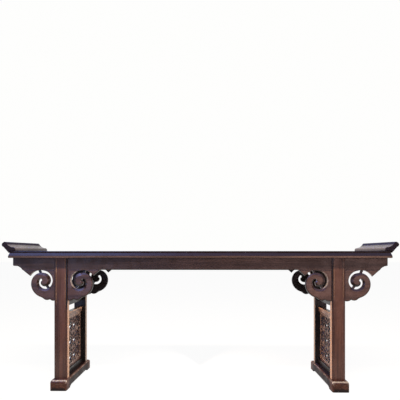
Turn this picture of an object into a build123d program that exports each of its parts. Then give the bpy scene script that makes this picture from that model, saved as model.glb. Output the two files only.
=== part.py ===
"""Altar table with upturned end flanges, cloud-scroll spandrels and carved side frames.

Built as a joiner builds it. The top is a mitred frame round floating boards, held from
below by battens. Each leg is forked at its head: the fork straddles the long apron and
its two cheeks are tenoned into the top. The spandrels hang under the apron on a tongue and
are keyed to the legs. Rails, a pierced panel and a shoe join each front leg to its back leg.

Millimetres. X runs along the table, Y from front (-Y) to back, Z up. The origin is on the
floor, under the middle of the table.
"""
from build123d import *
import math
import os

# ---- Driving dimensions ----
TOP_HEIGHT = 865.0          # floor to the flat of the top
TOP_LENGTH = 2360.0         # over the widest line of the edge moulding
TOP_DEPTH = 460.0
TOP_THICKNESS = 42.4
FRAME_WIDTH = 80.0          # width of the rails and end pieces that frame the top
LEG_WIDTH = 82.8            # along the table
LEG_THICKNESS = 36.0        # front to back
LEG_CENTRE = 869.4          # from the middle of the table to the middle of a leg
LEG_FACE = 189.5            # from the middle of the table to a leg's outer face
APRON_BOTTOM = 746.8        # height of the apron's lower edge
BOARD = 18.0                # thickness of the aprons and spandrels
SHOE_HEIGHT = 63.0
SHOE_LENGTH = 454.4         # front to back
SHOE_WIDTH = 103.0

# ---- Edge moulding of the top: how far each line stands in from the widest line ----
NECK_INSET = 7.0            # upright band under the top's surface
NECK_DEPTH = 13.0
NECK_LEDGE = 1.0            # small ledge where the bulge starts
BULGE_TOP = 28.0            # depth below the surface where the moulding is widest
BULGE_BOTTOM = 30.0
FOOT_INSET = 4.5            # lower edge of the moulding
FOOT_DEPTH = 39.0

# ---- Top boards and battens ----
BOARD_COUNT = 3
BOARD_THICKNESS = 18.0
TONGUE_THICKNESS = 7.0
TONGUE_LENGTH = 9.0
TONGUE_DROP = 5.0           # surface of the top to the tongue's upper face
BATTEN_COUNT = 5
BATTEN_WIDTH = 36.0
BATTEN_HEIGHT = 24.0
DOVETAIL_HEIGHT = 5.0
DOVETAIL_NECK = 22.0
DOVETAIL_HEAD = 26.0
BATTEN_TENON = 20.0
BATTEN_TENON_WIDTH = 24.0
BATTEN_SHOULDER = 4.0       # above and below the tenon
CORNER_TENON_DEPTH = (15.0, 29.0)   # below the surface, at the mitred corners
CORNER_TENON_FROM_INSIDE = (10.0, 46.0)
CORNER_TENON_STOP = 24.0    # left closed at the end piece's outer edge

# ---- End flanges, as heights above the top and distances from the middle ----
FLANGE_INNER = 1139.0
FLANGE_TIP = 1224.0
FLANGE_RISE = 57.5
FLANGE_LIP = 3.0            # the flange's foot stands past the moulding by this
FLANGE_LAP = 10.0           # how far that foot hangs down over the end piece's neck
FLANGE_STEP = 24.5          # height of the small shelf above the ovolo
FLANGE_TIP_RISE = 40.0      # height of the tip
FLANGE_THROAT = (1213.0, 26.0)      # where the roll of the nose meets the outer slope
FLANGE_KEYS = (-150.0, 0.0, 150.0)
FLANGE_KEY = (12.0, 40.0, 28.0)

# ---- Legs ----
BEAD_RADIUS = 2.0
BEAD_INSET = 13.0           # middle of the bead from the leg's side
BAND_SETBACK = 1.2          # the strip outside the bead lies behind the field
ARRIS = 4.0                 # rounding of the leg's outer corners
TENON_HEIGHT = 20.0         # cheek tenons in the top
CHEEK_TENON_WIDTH = 60.0
FRONT_CHEEK_SHOULDER = 3.0
BACK_CHEEK_SHOULDER = 2.0
SHOE_TENON = (50.0, 16.0, 30.0)

# ---- Aprons ----
SHOULDER_RISE = 31.0        # from the apron's edge to the foot of its upright end
HOLLOW_LENGTH = 30.0        # from the ogee's end to the outer end of the hollow
HOLLOW_RISE = 23.7
HOLLOW_MIDDLE = (13.0, 13.5)        # from the ogee's end, along and up
END_TONGUE = (6.0, 8.0)     # thickness and length of the end apron's tongues

# ---- Spandrels: an open spiral about an eye, cut by hand, so that no two are quite alike ----
# eye and ogee: distances from the leg's side to the eye and to where the ogee meets the apron
# lip: opening of the slot's outer wall towards its mouth, in a full turn
# tip: angle of the lip's tip from the outward horizontal
SPANDRELS = {
    ("left", "outer"): {"eye": 72.0, "ogee": 206.0, "lip": 120.0, "tip": 23.0},
    ("left", "inner"): {"eye": 79.0, "ogee": 206.0, "lip": 115.0, "tip": 25.0},
    ("right", "outer"): {"eye": 81.5, "ogee": 217.0, "lip": 135.0, "tip": 21.0},
    ("right", "inner"): {"eye": 82.0, "ogee": 206.0, "lip": 115.0, "tip": 25.0},
}
EYE_HEIGHT = 672.0
SLOT_OUT = 70.5             # slot's two walls, measured straight above the eye
SLOT_IN = 54.5
SLOT_PITCH = 50.0           # how far the slot winds inwards in a full turn
RIM_PITCH = 95.4            # growth of the scroll's outer rim
MOUTH_ANGLE = 10.0          # the slot is drawn to here, past the lip's tip
RIM_END = -75.0             # where the rim meets the scalloped lower edge
SLOT_END = 392.0
BLOB_RADIUS = 9.0
TIE_WIDTH = 13.0
TIE_SETBACK = 3.0
TIE_ANGLES = (69.0, 235.0)
SPANDREL_FOOT = 553.0       # height of the spandrel's lowest corner at the leg
TONGUE_WIDTH = 7.0
TONGUE_RISE = 10.0
TONGUE_ENDS = (8.0, 16.0)   # set back from the leg and from the ogee
KEY_SIZE = (24.0, 7.0, 20.0)
KEY_HEIGHTS = (732.0, 591.0)

# ---- Side frames ----
RAIL_WIDTH = 33.0           # along the table
RAIL_TENON = 20.0
RAIL_TENON_WIDTH = 16.0
RAIL_SHOULDER = 4.0
UPPER_RAIL = (511.0, 545.0)
MIDDLE_RAIL = (436.0, 466.0)
LOWER_RAIL = (63.0, 96.0)
PANEL_THICKNESS = 14.0
PANEL_TONGUE = 6.0
PANEL_TONGUE_LENGTH = 8.0
PANEL_BORDER = 15.0
STEM_WIDTH = 9.0
SCROLL_ROWS = 3
SCROLL_EYE = 15.0           # radius of the solid boss in the middle of each scroll

# ---- Shoes ----
SHOE_FOOT = 62.0            # length of the foot at each end
SHOE_ARCH = 13.0
SHOE_CROWN = 18.0           # rounding of the ends, seen from the side
SHOE_EASE = 9.0             # rounding along the top
SHOE_CORNER = 8.0           # rounding of the corners, seen from above

# ---- Worked out from the above ----
HALF_LENGTH = TOP_LENGTH / 2
HALF_DEPTH = TOP_DEPTH / 2
UNDERSIDE = TOP_HEIGHT - TOP_THICKNESS
LEG_OUT = LEG_CENTRE + LEG_WIDTH / 2
LEG_IN = LEG_CENTRE - LEG_WIDTH / 2
LEG_BACK = LEG_FACE - LEG_THICKNESS
BOARD_FACE = LEG_FACE - 8.0
BOARD_BACK = BOARD_FACE - BOARD
BOARD_MID = BOARD_FACE - BOARD / 2
APRON_END = HALF_LENGTH - FOOT_INSET


def flip_x(shape):
    return mirror(shape, about=Plane.YZ)


def flip_y(shape):
    return mirror(shape, about=Plane.XZ)


def block(x0, x1, y0, y1, z0, z1):
    """Box between two corners."""
    return Pos((x0 + x1) / 2, (y0 + y1) / 2, (z0 + z1) / 2) * Box(x1 - x0, y1 - y0, z1 - z0)


def outline(*pieces):
    """Flat face from a chain of curves drawn in the XY plane."""
    return make_face(Curve() + [edge for piece in pieces for edge in piece.edges()])


def run_along_x(face, x0, x1):
    """Solid with a section drawn as (Y, Z), from x0 to x1."""
    return extrude(Plane.YZ.offset(x0) * face, x1 - x0)


def run_along_y(face, y0, y1):
    """Solid with an outline drawn as (X, Z), from y0 to y1."""
    return extrude(Plane.XZ.offset(-y1) * face, y1 - y0)


def run_along_z(face, z0, z1):
    """Solid with a plan drawn as (X, Y), from z0 to z1."""
    return extrude(Plane.XY.offset(z0) * face, z1 - z0)


# ---- Top ----
def edge_section(reach, inner):
    """Section of a frame piece: (distance from the middle, height), moulded at its outer edge."""
    top = TOP_HEIGHT
    neck = reach - NECK_INSET
    foot = reach - FOOT_INSET
    ledge = (neck + NECK_LEDGE, top - NECK_DEPTH)
    eased = 1.5
    return outline(
        Polyline((inner, UNDERSIDE), (inner, top), (neck - eased, top)),
        RadiusArc((neck - eased, top), (neck, top - eased), eased),
        Polyline((neck, top - eased), (neck, top - NECK_DEPTH), ledge),
        ThreePointArc(ledge, (reach - 1.8, top - 20), (reach, top - BULGE_TOP)),
        Line((reach, top - BULGE_TOP), (reach, top - BULGE_BOTTOM)),
        ThreePointArc((reach, top - BULGE_BOTTOM), (reach - 1.2, top - 35), (foot, top - FOOT_DEPTH)),
        Polyline((foot, top - FOOT_DEPTH), (foot, UNDERSIDE), (inner, UNDERSIDE)),
    )


def mitre_wedge():
    """Everything on the end piece's side of the four mitres, as seen in plan."""
    reach = HALF_LENGTH + 1
    across = HALF_DEPTH + 1
    inner_x = HALF_LENGTH - FRAME_WIDTH
    inner_y = HALF_DEPTH - FRAME_WIDTH
    plan = outline(Polyline(
        (inner_x, -inner_y), (reach, -across), (reach, across), (inner_x, inner_y), (inner_x, -inner_y)))
    return run_along_z(plan, UNDERSIDE - 1, TOP_HEIGHT + 1)


def top_boards_blank():
    """Three edge-joined boards with a tongue all round, before the battens are let in."""
    inner_x = HALF_LENGTH - FRAME_WIDTH
    inner_y = HALF_DEPTH - FRAME_WIDTH
    width = 2 * inner_y / BOARD_COUNT
    tongue_top = TOP_HEIGHT - TONGUE_DROP
    tongue_low = tongue_top - TONGUE_THICKNESS
    low = TOP_HEIGHT - BOARD_THICKNESS
    reach = inner_x + TONGUE_LENGTH
    boards = []
    for index in range(BOARD_COUNT):
        y0 = -inner_y + index * width
        y1 = y0 + width
        board = block(-inner_x, inner_x, y0, y1, low, TOP_HEIGHT)
        board += block(-reach, reach, y0 - TONGUE_LENGTH, y1, tongue_low, tongue_top)
        if index < BOARD_COUNT - 1:
            board -= block(-reach, reach, y1 - TONGUE_LENGTH, y1, tongue_low, tongue_top)
        else:
            board += block(-reach, reach, y1, y1 + TONGUE_LENGTH, tongue_low, tongue_top)
        boards.append(board)
    return boards


def batten(x):
    """Cross batten under the boards: a dovetail ridge on top and a tenon at each end."""
    inner_y = HALF_DEPTH - FRAME_WIDTH
    low = TOP_HEIGHT - BOARD_THICKNESS
    body = block(x - BATTEN_WIDTH / 2, x + BATTEN_WIDTH / 2, -inner_y, inner_y, low - BATTEN_HEIGHT, low)
    ridge = outline(Polyline(
        (x - DOVETAIL_NECK / 2, low), (x - DOVETAIL_HEAD / 2, low + DOVETAIL_HEIGHT),
        (x + DOVETAIL_HEAD / 2, low + DOVETAIL_HEIGHT), (x + DOVETAIL_NECK / 2, low),
        (x - DOVETAIL_NECK / 2, low)))
    reach = inner_y + BATTEN_TENON
    half = BATTEN_TENON_WIDTH / 2
    tenon = block(x - half, x + half, -reach, reach,
                  low - BATTEN_HEIGHT + BATTEN_SHOULDER, low - BATTEN_SHOULDER)
    return body + run_along_y(ridge, -inner_y, inner_y) + tenon


def make_top():
    """Frame, boards, battens and flanges. Returns {node: solid}."""
    inner_x = HALF_LENGTH - FRAME_WIDTH
    inner_y = HALF_DEPTH - FRAME_WIDTH
    wedge = mitre_wedge()
    long_rail = flip_y(run_along_x(edge_section(HALF_DEPTH, inner_y), -HALF_LENGTH, HALF_LENGTH))
    long_rail = long_rail - wedge - flip_x(wedge)
    near, far = CORNER_TENON_FROM_INSIDE
    shallow, deep = CORNER_TENON_DEPTH
    corner_tenon = block(inner_x, HALF_LENGTH - CORNER_TENON_STOP, -inner_y - far, -inner_y - near,
                         TOP_HEIGHT - deep, TOP_HEIGHT - shallow)
    long_rail = long_rail + corner_tenon + flip_x(corner_tenon)
    end_piece = run_along_y(edge_section(HALF_LENGTH, inner_x), -HALF_DEPTH, HALF_DEPTH) & wedge
    end_piece = end_piece - corner_tenon - flip_y(corner_tenon)

    boards = top_boards_blank()
    spacing = 2 * inner_x / (BATTEN_COUNT + 1)
    battens = [batten(-inner_x + (index + 1) * spacing) for index in range(BATTEN_COUNT)]
    for board in boards:
        long_rail = long_rail - board
        end_piece = end_piece - board
    boards = [cut_all(board, battens) for board in boards]
    long_rail = cut_all(long_rail, battens)

    keys = flange_keys()
    end_piece = end_piece - keys
    flange = flange_blank() - keys
    nodes = {
        "top_front_rail": long_rail,
        "top_end_right": end_piece,
        "top_end_left": flip_x(end_piece),
        "flange_right": flange,
        "flange_left": flip_x(flange),
        "flange_loose_tenons": keys + flip_x(keys),
    }
    for index, board in enumerate(boards):
        nodes[f"top_board_{index + 1}"] = board
    for index, piece in enumerate(battens):
        nodes[f"top_batten_{index + 1}"] = piece
    return nodes


def cut_all(shape, tools):
    for tool in tools:
        shape = shape - tool
    return shape


def flange_blank():
    """Upturned flange on the right end: an ovolo, a long hollow, a rounded nose, and a foot
    that laps over the end piece's neck."""
    top = TOP_HEIGHT
    inner = FLANGE_INNER
    tip = FLANGE_TIP
    nose = top + FLANGE_RISE
    lip = HALF_LENGTH + FLANGE_LIP
    neck = HALF_LENGTH - NECK_INSET
    shelf = top + FLANGE_STEP
    tip_height = top + FLANGE_TIP_RISE
    foot = top - FLANGE_LAP
    throat = (FLANGE_THROAT[0], top + FLANGE_THROAT[1])
    section = outline(
        Line((inner, top), (inner, top + 9)),
        ThreePointArc((inner, top + 9), (inner + 4.5, shelf - 4.5), (inner + 15, shelf)),
        Line((inner + 15, shelf), (inner + 21, shelf)),
        ThreePointArc((inner + 21, shelf), (inner + 43, shelf + 10.5), (inner + 58, nose - 5)),
        ThreePointArc((inner + 58, nose - 5), (inner + 65, nose), (inner + 75, nose - 3.5)),
        ThreePointArc((inner + 75, nose - 3.5), (tip - 2.5, nose - 10), (tip, tip_height)),
        ThreePointArc((tip, tip_height), (tip - 2.5, tip_height - 8), throat),
        Polyline(throat, (lip, top - 8), (lip, foot), (neck, foot), (neck, top), (inner, top)),
    )
    half = HALF_DEPTH - NECK_INSET
    return run_along_y(section, -half, half)


def flange_keys():
    """Loose tenons between the right flange and the top's end piece."""
    middle = FLANGE_INNER + (HALF_LENGTH - FLANGE_INNER) / 2
    keys = [Pos(middle, y, TOP_HEIGHT) * Box(*FLANGE_KEY) for y in FLANGE_KEYS]
    return keys[0] + keys[1] + keys[2]


# ---- Aprons ----
def half_apron(ogee):
    """Right half of a long apron, with its hollow starting at the ogee's end."""
    shoulder = APRON_BOTTOM + SHOULDER_RISE
    start = LEG_OUT + ogee
    along, up = HOLLOW_MIDDLE
    hollow_foot = (start, APRON_BOTTOM)
    hollow_head = (start + HOLLOW_LENGTH, APRON_BOTTOM + HOLLOW_RISE)
    round_start = (APRON_END - 8, shoulder - 6)
    half = outline(
        Line((0, APRON_BOTTOM), hollow_foot),
        ThreePointArc(hollow_foot, (start + along, APRON_BOTTOM + up), hollow_head),
        Line(hollow_head, round_start),
        ThreePointArc(round_start, (APRON_END - 2, shoulder - 4), (APRON_END, shoulder)),
        Polyline((APRON_END, shoulder), (APRON_END, UNDERSIDE), (0, UNDERSIDE), (0, APRON_BOTTOM)),
    )
    return run_along_y(half, -BOARD_FACE, -BOARD_BACK)


def apron_blank():
    """Front apron: one long board whose ends are cut to a shoulder and a hollow."""
    right = half_apron(SPANDRELS[("right", "outer")]["ogee"])
    left = half_apron(SPANDRELS[("left", "outer")]["ogee"])
    return right + flip_x(left)


def end_apron():
    """Short apron across the right end, between the two long ones."""
    low = APRON_BOTTOM + SHOULDER_RISE
    thickness, length = END_TONGUE
    body = block(APRON_END - BOARD, APRON_END, -BOARD_BACK, BOARD_BACK, low, UNDERSIDE)
    reach = BOARD_BACK + length
    middle = APRON_END - BOARD / 2
    tongue = block(middle - thickness / 2, middle + thickness / 2, -reach, reach,
                   low + thickness, UNDERSIDE - thickness)
    return body + tongue


# ---- Spandrels ----
def wall(pitch, at_top, angle):
    """Radius of a spiral wall at an angle from the outward horizontal, given its radius above."""
    return at_top + pitch * (90.0 - angle) / 360.0


def around(eye, radius, angle):
    """Point at a radius and an angle about an eye."""
    turn = math.radians(angle)
    return (eye + radius * math.cos(turn), EYE_HEIGHT + radius * math.sin(turn))


def spiral(eye, pitch, at_top, start, end, steps):
    """Smooth curve along a spiral wall about the eye, from one angle to another."""
    points = []
    for step in range(steps + 1):
        angle = start + (end - start) * step / steps
        points.append(around(eye, wall(pitch, at_top, angle), angle))
    return Spline(*points)


def slot_face(form):
    """The spiral slot, drawn past its mouth so that it opens the outline."""
    eye = form["eye"]
    out_mouth = spiral(eye, form["lip"], SLOT_OUT, MOUTH_ANGLE, 90, 5)
    out_wall = spiral(eye, SLOT_PITCH, SLOT_OUT, 90, SLOT_END, 16)
    in_wall = spiral(eye, SLOT_PITCH, SLOT_IN, SLOT_END, 90, 16)
    in_mouth = spiral(eye, RIM_PITCH, SLOT_IN, 90, MOUTH_ANGLE, 5)
    end_cap = Line(out_wall @ 1, in_wall @ 0)
    mouth = Line(in_mouth @ 1, out_mouth @ 0)
    middle = wall(SLOT_PITCH, (SLOT_OUT + SLOT_IN) / 2, SLOT_END)
    blob = Pos(*around(eye, middle, SLOT_END)) * Circle(BLOB_RADIUS)
    return outline(out_mouth, out_wall, end_cap, in_wall, in_mouth, mouth) + blob


def spandrel_face(form):
    """Outline of a spandrel as (distance from the leg, height), without its slot."""
    eye = form["eye"]
    tip = around(eye, wall(form["lip"], SLOT_OUT, form["tip"]), form["tip"])
    upper = spiral(eye, form["lip"], SLOT_OUT, form["tip"], 90, 5)
    rim = spiral(eye, RIM_PITCH, SLOT_IN, 90, RIM_END, 8)
    rim_foot = rim @ 1
    notch = (eye - 41, SPANDREL_FOOT + 8)
    corner = (0, SPANDREL_FOOT)
    return outline(
        Polyline((0, APRON_BOTTOM), (form["ogee"], APRON_BOTTOM), tip),
        upper,
        Line(upper @ 1, rim @ 0),
        rim,
        ThreePointArc(rim_foot, (eye + 12, SPANDREL_FOOT + 19), (eye + 2, SPANDREL_FOOT + 13)),
        ThreePointArc((eye + 2, SPANDREL_FOOT + 13), (eye - 21, SPANDREL_FOOT + 2.5), notch),
        ThreePointArc(notch, ((eye - 41) * 0.45, SPANDREL_FOOT - 2), corner),
        Line(corner, (0, APRON_BOTTOM)),
    )


def tie(eye, angle):
    """Short bridge left across the slot, set back from both faces."""
    middle = wall(SLOT_PITCH, (SLOT_OUT + SLOT_IN) / 2, angle)
    bar = Pos(*around(eye, middle, angle)) * Rot(0, 0, angle) * Rectangle(SLOT_OUT - SLOT_IN + 10, TIE_WIDTH)
    return run_along_y(bar, -BOARD_FACE + TIE_SETBACK, -BOARD_BACK - TIE_SETBACK)


def spandrel(form):
    """A front spandrel with its leg side at X = 0, reaching towards +X."""
    face = spandrel_face(form) - slot_face(form)
    body = run_along_y(face, -BOARD_FACE, -BOARD_BACK)
    for angle in TIE_ANGLES:
        body += tie(form["eye"], angle)
    near, far = TONGUE_ENDS
    tongue = block(near, form["ogee"] - far, -BOARD_MID - TONGUE_WIDTH / 2, -BOARD_MID + TONGUE_WIDTH / 2,
                   APRON_BOTTOM, APRON_BOTTOM + TONGUE_RISE)
    return body + tongue


def place_spandrel(side, position):
    """A front spandrel where it hangs."""
    shape = spandrel(SPANDRELS[(side, position)])
    if position == "outer":
        shape = Pos(LEG_OUT, 0, 0) * shape
    else:
        shape = Pos(LEG_IN, 0, 0) * flip_x(shape)
    return flip_x(shape) if side == "left" else shape


def spandrel_keys():
    """Loose tenons between the front right leg and its two spandrels."""
    length, width, height = KEY_SIZE
    keys = []
    for x in (LEG_OUT, LEG_IN):
        for z in KEY_HEIGHTS:
            keys.append(Pos(x, -BOARD_MID, z) * Box(length, width, height))
    return keys[0] + keys[1] + keys[2] + keys[3]


# ---- Legs ----
def leg_plan():
    """Plan of the front right leg: a flat field between two beads, and eased corners."""
    half = LEG_WIDTH / 2
    face = -LEG_FACE + BEAD_RADIUS * 0.75
    band = face + BAND_SETBACK
    bead = half - BEAD_INSET
    back = -LEG_BACK
    eased = 2.0
    right = (
        Line((0, face), (bead - BEAD_RADIUS, face)),
        ThreePointArc((bead - BEAD_RADIUS, face), (bead, -LEG_FACE), (bead + BEAD_RADIUS, face)),
        Polyline((bead + BEAD_RADIUS, face), (bead + BEAD_RADIUS, band), (half - ARRIS, band)),
        RadiusArc((half - ARRIS, band), (half, band + ARRIS), -ARRIS),
        Line((half, band + ARRIS), (half, back - eased)),
        RadiusArc((half, back - eased), (half - eased, back), -eased),
        Polyline((half - eased, back), (0, back), (0, face)),
    )
    half_plan = outline(*right)
    return Pos(LEG_CENTRE, 0) * (half_plan + mirror(half_plan, about=Plane.YZ))


def leg_blank():
    """Front right leg with its cheek tenons and shoe tenon, before it is forked and mortised."""
    leg = run_along_z(leg_plan(), SHOE_HEIGHT, UNDERSIDE)
    x0 = LEG_CENTRE - CHEEK_TENON_WIDTH / 2
    x1 = LEG_CENTRE + CHEEK_TENON_WIDTH / 2
    tenon_top = UNDERSIDE + TENON_HEIGHT
    leg += block(x0, x1, -LEG_FACE + FRONT_CHEEK_SHOULDER, -BOARD_FACE, UNDERSIDE, tenon_top)
    leg += block(x0, x1, -BOARD_BACK, -LEG_BACK - BACK_CHEEK_SHOULDER, UNDERSIDE, tenon_top)
    width, thickness, depth = SHOE_TENON
    middle = -LEG_FACE + LEG_THICKNESS / 2
    leg += block(LEG_CENTRE - width / 2, LEG_CENTRE + width / 2, middle - thickness / 2,
                 middle + thickness / 2, SHOE_HEIGHT - depth, SHOE_HEIGHT)
    return leg


# ---- Side frames ----
def rail(span):
    """Cross rail of the right side frame, with a tenon in each leg."""
    low, high = span
    body = block(LEG_CENTRE - RAIL_WIDTH / 2, LEG_CENTRE + RAIL_WIDTH / 2, -LEG_BACK, LEG_BACK, low, high)
    reach = LEG_BACK + RAIL_TENON
    half = RAIL_TENON_WIDTH / 2
    return body + block(LEG_CENTRE - half, LEG_CENTRE + half, -reach, reach,
                        low + RAIL_SHOULDER, high - RAIL_SHOULDER)


def vine_scroll(centre, radius, start, turns, hand):
    """A spiral stem of even width as a face: its two edges wind in to the eye together."""
    steps = 12
    edges = []
    for offset in (STEM_WIDTH / 2, -STEM_WIDTH / 2):
        points = []
        for step in range(steps + 1):
            share = step / steps
            angle = math.radians(start + hand * 360 * turns * share)
            reach = radius - (radius - SCROLL_EYE + 2) * share + offset
            points.append((centre[0] + reach * math.cos(angle), centre[1] + reach * math.sin(angle)))
        edges.append(Spline(*points))
    outer, inner = edges
    return outline(outer, Line(outer @ 1, inner @ 1), inner, Line(inner @ 0, outer @ 0))


def panel_field():
    """Pierced field as (Y, Z): rows of paired scrolls on a stem, inside a plain border."""
    low = LOWER_RAIL[1]
    high = MIDDLE_RAIL[0]
    width = 2 * LEG_BACK
    height = high - low
    middle = (low + high) / 2
    border = Pos(0, middle) * (Rectangle(width, height)
                               - Rectangle(width - 2 * PANEL_BORDER, height - 2 * PANEL_BORDER))
    pitch = (height - 2 * PANEL_BORDER) / SCROLL_ROWS
    radius = pitch / 2 - 3
    field = border + Pos(0, middle) * Rectangle(11, height)
    for row in range(SCROLL_ROWS):
        z = low + PANEL_BORDER + (row + 0.5) * pitch
        for hand in (1, -1):
            y = hand * (width / 2 - PANEL_BORDER - radius - 2)
            start = 180 if hand == 1 else 0
            field += vine_scroll((y, z), radius, start, 1.25, -hand)
            field += Pos(y, z) * Circle(SCROLL_EYE)
            field += Pos(hand * 22, z) * Rectangle(44, STEM_WIDTH)
            field += Pos(hand * (width / 2 - PANEL_BORDER), z) * Rectangle(14, 26)
    for row in range(SCROLL_ROWS + 1):
        z = low + PANEL_BORDER + row * pitch
        field += Pos(0, z) * Rot(0, 0, 45) * Rectangle(34, 34)
    return field & (Pos(0, middle) * Rectangle(width, height))


def carved_panel():
    """Pierced panel of the right side frame with a tongue on all four edges."""
    low = LOWER_RAIL[1]
    high = MIDDLE_RAIL[0]
    half = PANEL_THICKNESS / 2
    body = run_along_x(panel_field(), LEG_CENTRE - half, LEG_CENTRE + half)
    out = PANEL_TONGUE_LENGTH
    border = PANEL_BORDER - 2
    sheet = block(LEG_CENTRE - PANEL_TONGUE / 2, LEG_CENTRE + PANEL_TONGUE / 2,
                  -LEG_BACK - out, LEG_BACK + out, low - out, high + out)
    opening = block(LEG_CENTRE - half, LEG_CENTRE + half, -LEG_BACK + border, LEG_BACK - border,
                    low + border, high - border)
    return body + (sheet - opening)


def shoe_blank():
    """Right shoe: rounded block with two feet and a low arch between them."""
    half = SHOE_LENGTH / 2
    pad = half - SHOE_FOOT
    arch = SHOE_ARCH
    crown = SHOE_CROWN
    side = outline(
        Polyline((-half, 0), (-half, SHOE_HEIGHT - crown)),
        RadiusArc((-half, SHOE_HEIGHT - crown), (-half + crown, SHOE_HEIGHT), crown),
        Line((-half + crown, SHOE_HEIGHT), (half - crown, SHOE_HEIGHT)),
        RadiusArc((half - crown, SHOE_HEIGHT), (half, SHOE_HEIGHT - crown), crown),
        Polyline((half, SHOE_HEIGHT - crown), (half, 0), (pad, 0)),
        ThreePointArc((pad, 0), (pad - 2, 6), (pad - 9, 8)),
        ThreePointArc((pad - 9, 8), (pad - 15, 11.5), (pad - 24, arch)),
        Line((pad - 24, arch), (-pad + 24, arch)),
        ThreePointArc((-pad + 24, arch), (-pad + 15, 11.5), (-pad + 9, 8)),
        ThreePointArc((-pad + 9, 8), (-pad + 2, 6), (-pad, 0)),
        Line((-pad, 0), (-half, 0)),
    )
    body = run_along_x(side, LEG_CENTRE - SHOE_WIDTH / 2, LEG_CENTRE + SHOE_WIDTH / 2)
    section = Pos(0, SHOE_HEIGHT / 2) * Rectangle(SHOE_WIDTH, SHOE_HEIGHT)
    section = fillet(section.vertices().sort_by(Axis.Y)[-2:], SHOE_EASE)
    body = body & (Pos(LEG_CENTRE, 0, 0) * run_along_y(section, -half, half))
    plan = Pos(LEG_CENTRE, 0) * RectangleRounded(SHOE_WIDTH, SHOE_LENGTH, SHOE_CORNER)
    return body & run_along_z(plan, 0, SHOE_HEIGHT)


# ---- Assembly ----
def make_understructure():
    """Legs, aprons, spandrels and side frames. Returns {node: solid}."""
    nodes = {}
    long_apron = apron_blank()
    short_apron = end_apron()
    spandrels = {key: place_spandrel(*key) for key in SPANDRELS}
    leg = leg_blank() - long_apron
    keys = spandrel_keys()
    rails = {"upper": rail(UPPER_RAIL), "middle": rail(MIDDLE_RAIL), "lower": rail(LOWER_RAIL)}
    panel = carved_panel()
    leg = cut_all(leg, [keys, *rails.values(), panel])
    shoe = cut_all(shoe_blank(), [leg, flip_y(leg)])
    rails["middle"] -= panel
    rails["lower"] -= panel

    for name, shape in rails.items():
        nodes[f"side_{name}_rail_right"] = shape
        nodes[f"side_{name}_rail_left"] = flip_x(shape)
    for name, shape in {"carved_panel": panel, "shoe": shoe, "apron_end": short_apron}.items():
        nodes[f"{name}_right"] = shape
        nodes[f"{name}_left"] = flip_x(shape)
    nodes["leg_front_right"] = leg
    nodes["leg_front_left"] = flip_x(leg)
    nodes["leg_back_right"] = flip_y(leg)
    nodes["leg_back_left"] = Rot(0, 0, 180) * leg

    for (side, position), shape in spandrels.items():
        long_apron -= shape
        hanging = shape - (flip_x(keys) if side == "left" else keys)
        nodes[f"spandrel_front_{side}_{position}"] = hanging
        nodes[f"spandrel_back_{side}_{position}"] = flip_y(hanging)
    long_apron = long_apron - short_apron - flip_x(short_apron)
    nodes["apron_front"] = long_apron
    nodes["apron_back"] = flip_y(long_apron)
    right_keys = keys + flip_y(keys)
    nodes["spandrel_loose_tenons"] = right_keys + flip_x(right_keys)
    return nodes


def main():
    os.makedirs("parts", exist_ok=True)
    nodes = make_understructure()
    top = make_top()
    legs = [nodes[f"leg_front_{side}"] for side in ("left", "right")]
    top["top_front_rail"] = cut_all(top["top_front_rail"], legs)
    top["top_back_rail"] = flip_y(top["top_front_rail"])
    nodes.update(top)
    for name, shape in nodes.items():
        shape.label = name
        export_step(shape, f"parts/{name}.step")
        print(f"{name}: {shape.volume / 1000:.1f} cm3, {len(shape.solids())} solid(s)")


main()
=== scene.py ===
# %% [markdown]
# # An altar table with upturned ends
#
# A long, narrow table of dark lacquered hardwood. Its top is a mitred frame round floating
# boards, with a flange turned up at each end. Forked legs straddle a long apron, cloud scrolls
# hang beside each leg, and a pierced panel fills each side frame. Everything is in metres and
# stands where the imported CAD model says; the sections below are drawn in millimetres.

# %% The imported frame
import math

import bpy
import numpy as np
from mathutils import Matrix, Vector


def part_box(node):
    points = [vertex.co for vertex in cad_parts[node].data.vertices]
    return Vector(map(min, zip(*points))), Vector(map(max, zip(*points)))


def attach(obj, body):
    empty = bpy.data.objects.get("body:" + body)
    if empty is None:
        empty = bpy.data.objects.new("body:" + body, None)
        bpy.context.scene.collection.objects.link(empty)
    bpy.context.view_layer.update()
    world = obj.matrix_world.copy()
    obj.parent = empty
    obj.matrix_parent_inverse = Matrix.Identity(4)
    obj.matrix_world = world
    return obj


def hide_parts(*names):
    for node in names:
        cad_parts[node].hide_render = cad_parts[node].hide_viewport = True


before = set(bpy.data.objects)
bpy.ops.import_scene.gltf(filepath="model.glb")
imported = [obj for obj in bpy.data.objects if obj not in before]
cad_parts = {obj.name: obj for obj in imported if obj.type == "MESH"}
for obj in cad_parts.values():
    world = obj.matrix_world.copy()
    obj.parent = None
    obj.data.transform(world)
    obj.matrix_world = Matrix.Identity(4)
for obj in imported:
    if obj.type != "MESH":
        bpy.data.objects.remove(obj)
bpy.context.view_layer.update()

MM = 0.001
rng = np.random.default_rng(27)


def box(node):
    """Lowest and highest corner of a CAD node, in millimetres."""
    low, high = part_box(node)
    return np.array(low) / MM, np.array(high) / MM


# %% [markdown]
# ## The camera
#
# The table is seen square on, from the height of its top and from close by, so the side frames
# open up towards the middle. A camera that stands level keeps every upright parallel, and its
# vertical shift moves the table down in the view without tilting it.

# %% Camera
camera = bpy.data.objects.new("camera", bpy.data.cameras.new("camera"))
bpy.context.scene.collection.objects.link(camera)
camera.location = (0.0401, -2.4075, 0.8554)
camera.rotation_euler = (math.radians(90), 0, math.radians(0.8533))
camera.data.lens = 31.95
camera.data.shift_y = 0.1316
bpy.context.scene.camera = camera
print("camera stands", round(-camera.location.y, 3), "m in front")

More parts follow.
